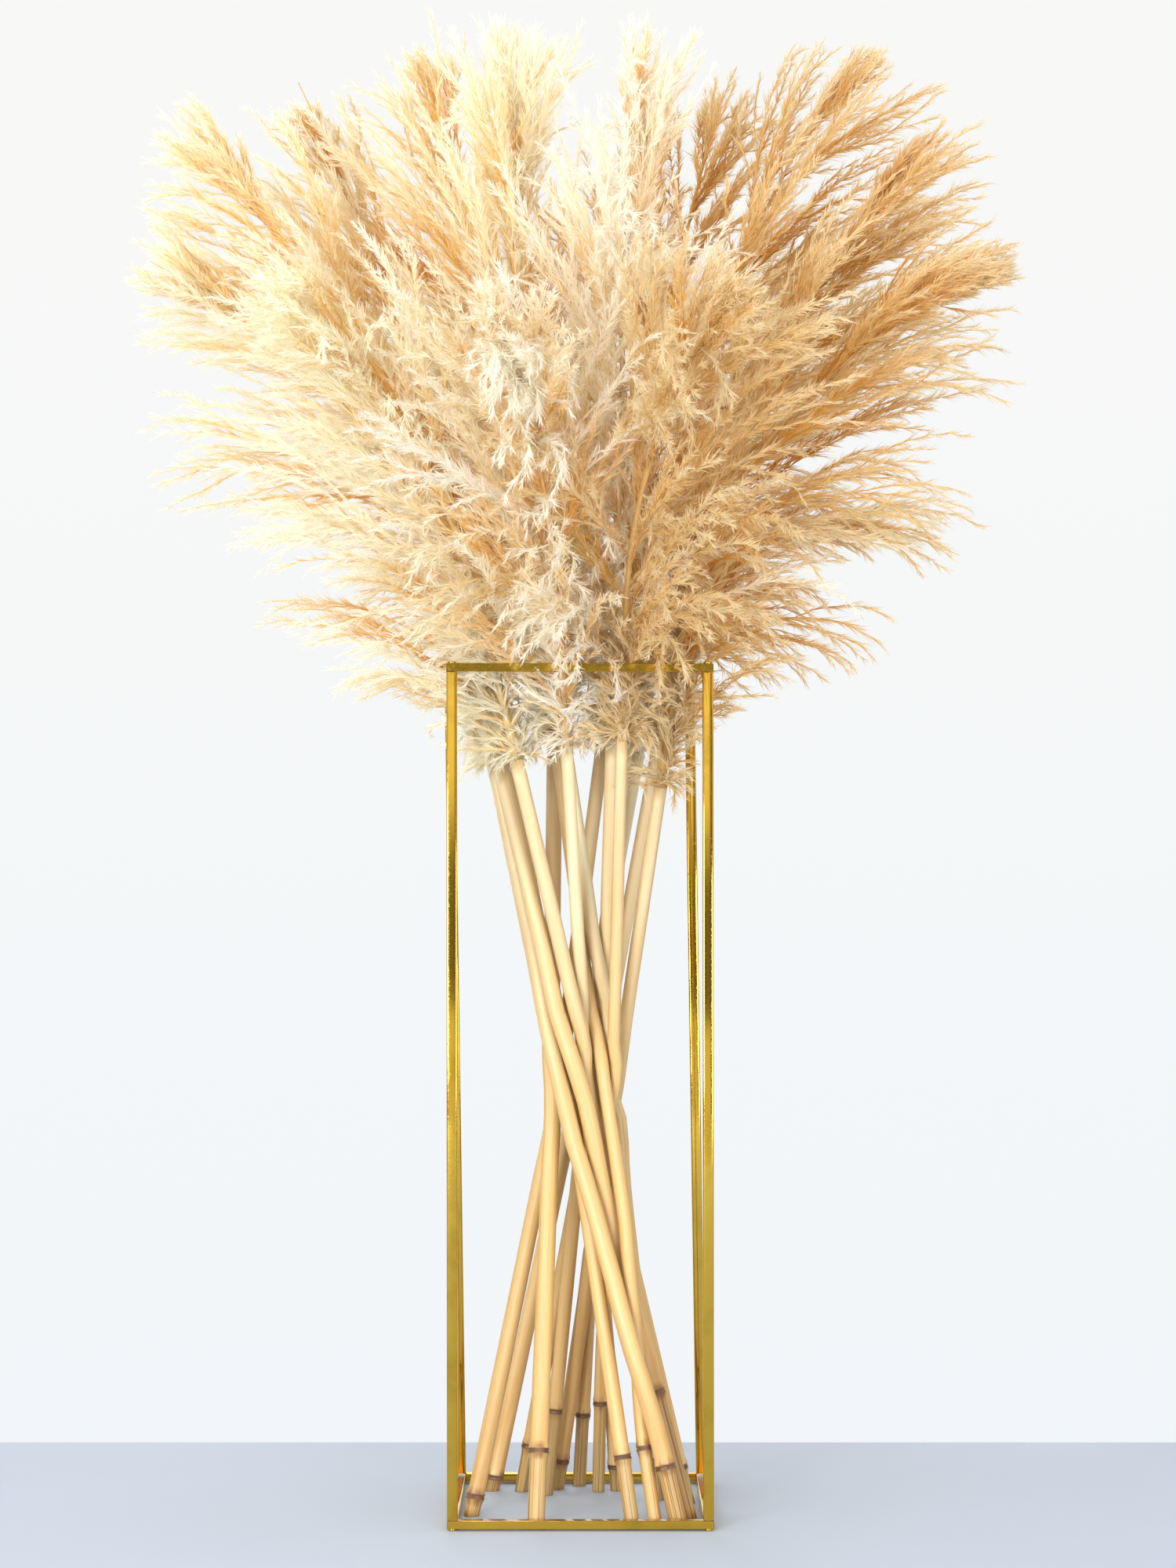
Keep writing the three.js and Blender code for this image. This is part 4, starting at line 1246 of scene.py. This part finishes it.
class PAMPAS_OT_stage(bpy.types.Operator):
    """Lays the floor, hangs the lights and sets up the camera"""

    bl_idname = "pampas.stage"
    bl_label = "Stage"

    def execute(self, context):
        sizes = context.scene.pampas_stage
        wide, front, back = sizes.floor_half_width, sizes.floor_front, sizes.floor_back
        corners = [(-wide, -front), (wide, -front), (wide, back), (-wide, back)]
        points = [(x, y, z) for z in (-FLOOR_THICKNESS, 0.0) for x, y in corners]
        faces = [(3, 2, 1, 0), (4, 5, 6, 7)]
        faces += [(i, (i + 1) % 4, (i + 1) % 4 + 4, i + 4) for i in range(4)]
        mesh = base_mesh("floor", points, (), faces)
        mesh.materials.append(floor_material(sizes))
        in_scene("floor", mesh)
        context.scene.world = studio_world(sizes)
        for light in LIGHTS:
            soft_light(*light)
        camera = bpy.data.cameras.new("camera")
        camera.lens = sizes.lens
        view = in_scene("camera", camera)
        view.location = sizes.camera_place
        view.rotation_euler = (math.pi / 2, 0.0, 0.0)
        context.scene.camera = view
        context.scene.view_settings.view_transform = "Standard"
        return {"FINISHED"}


# ---- panel and start


class PAMPAS_PT_panel(bpy.types.Panel):
    """Lists the pieces in the order they are made"""

    bl_label = "Pampas bundle"
    bl_idname = "PAMPAS_PT_panel"
    bl_space_type = "VIEW_3D"
    bl_region_type = "UI"
    bl_category = "Pampas"

    def draw(self, context):
        for group, operators in PANEL_ROWS:
            box = self.layout.box()
            sizes = getattr(context.scene, group)
            for name in sizes.__annotations__:
                box.prop(sizes, name)
            for name in operators:
                box.operator(name)


GROUPS = {
    "pampas_plumes": PlumeSizes,
    "pampas_stems": StemSizes,
    "pampas_stand": StandSizes,
    "pampas_stage": StageSizes,
}
PANEL_ROWS = (
    ("pampas_stand", ("pampas.stand", "pampas.screws")),
    ("pampas_stems", ("pampas.stems",)),
    ("pampas_plumes", ("pampas.plumes",)),
    ("pampas_stage", ("pampas.stage",)),
)
CLASSES = (
    *GROUPS.values(),
    PAMPAS_OT_stand,
    PAMPAS_OT_screws,
    PAMPAS_OT_stems,
    PAMPAS_OT_plumes,
    PAMPAS_OT_stage,
    PAMPAS_PT_panel,
)


def register():
    for kind in CLASSES:
        bpy.utils.register_class(kind)
    for name, kind in GROUPS.items():
        setattr(bpy.types.Scene, name, bpy.props.PointerProperty(type=kind))


def unregister():
    for name in GROUPS:
        delattr(bpy.types.Scene, name)
    for kind in reversed(CLASSES):
        bpy.utils.unregister_class(kind)


def main():
    register()
    bpy.ops.pampas.stand()
    bpy.ops.pampas.screws()
    bpy.ops.pampas.stems()
    bpy.ops.pampas.plumes()
    bpy.ops.pampas.stage()


if __name__ == "__main__":
    main()
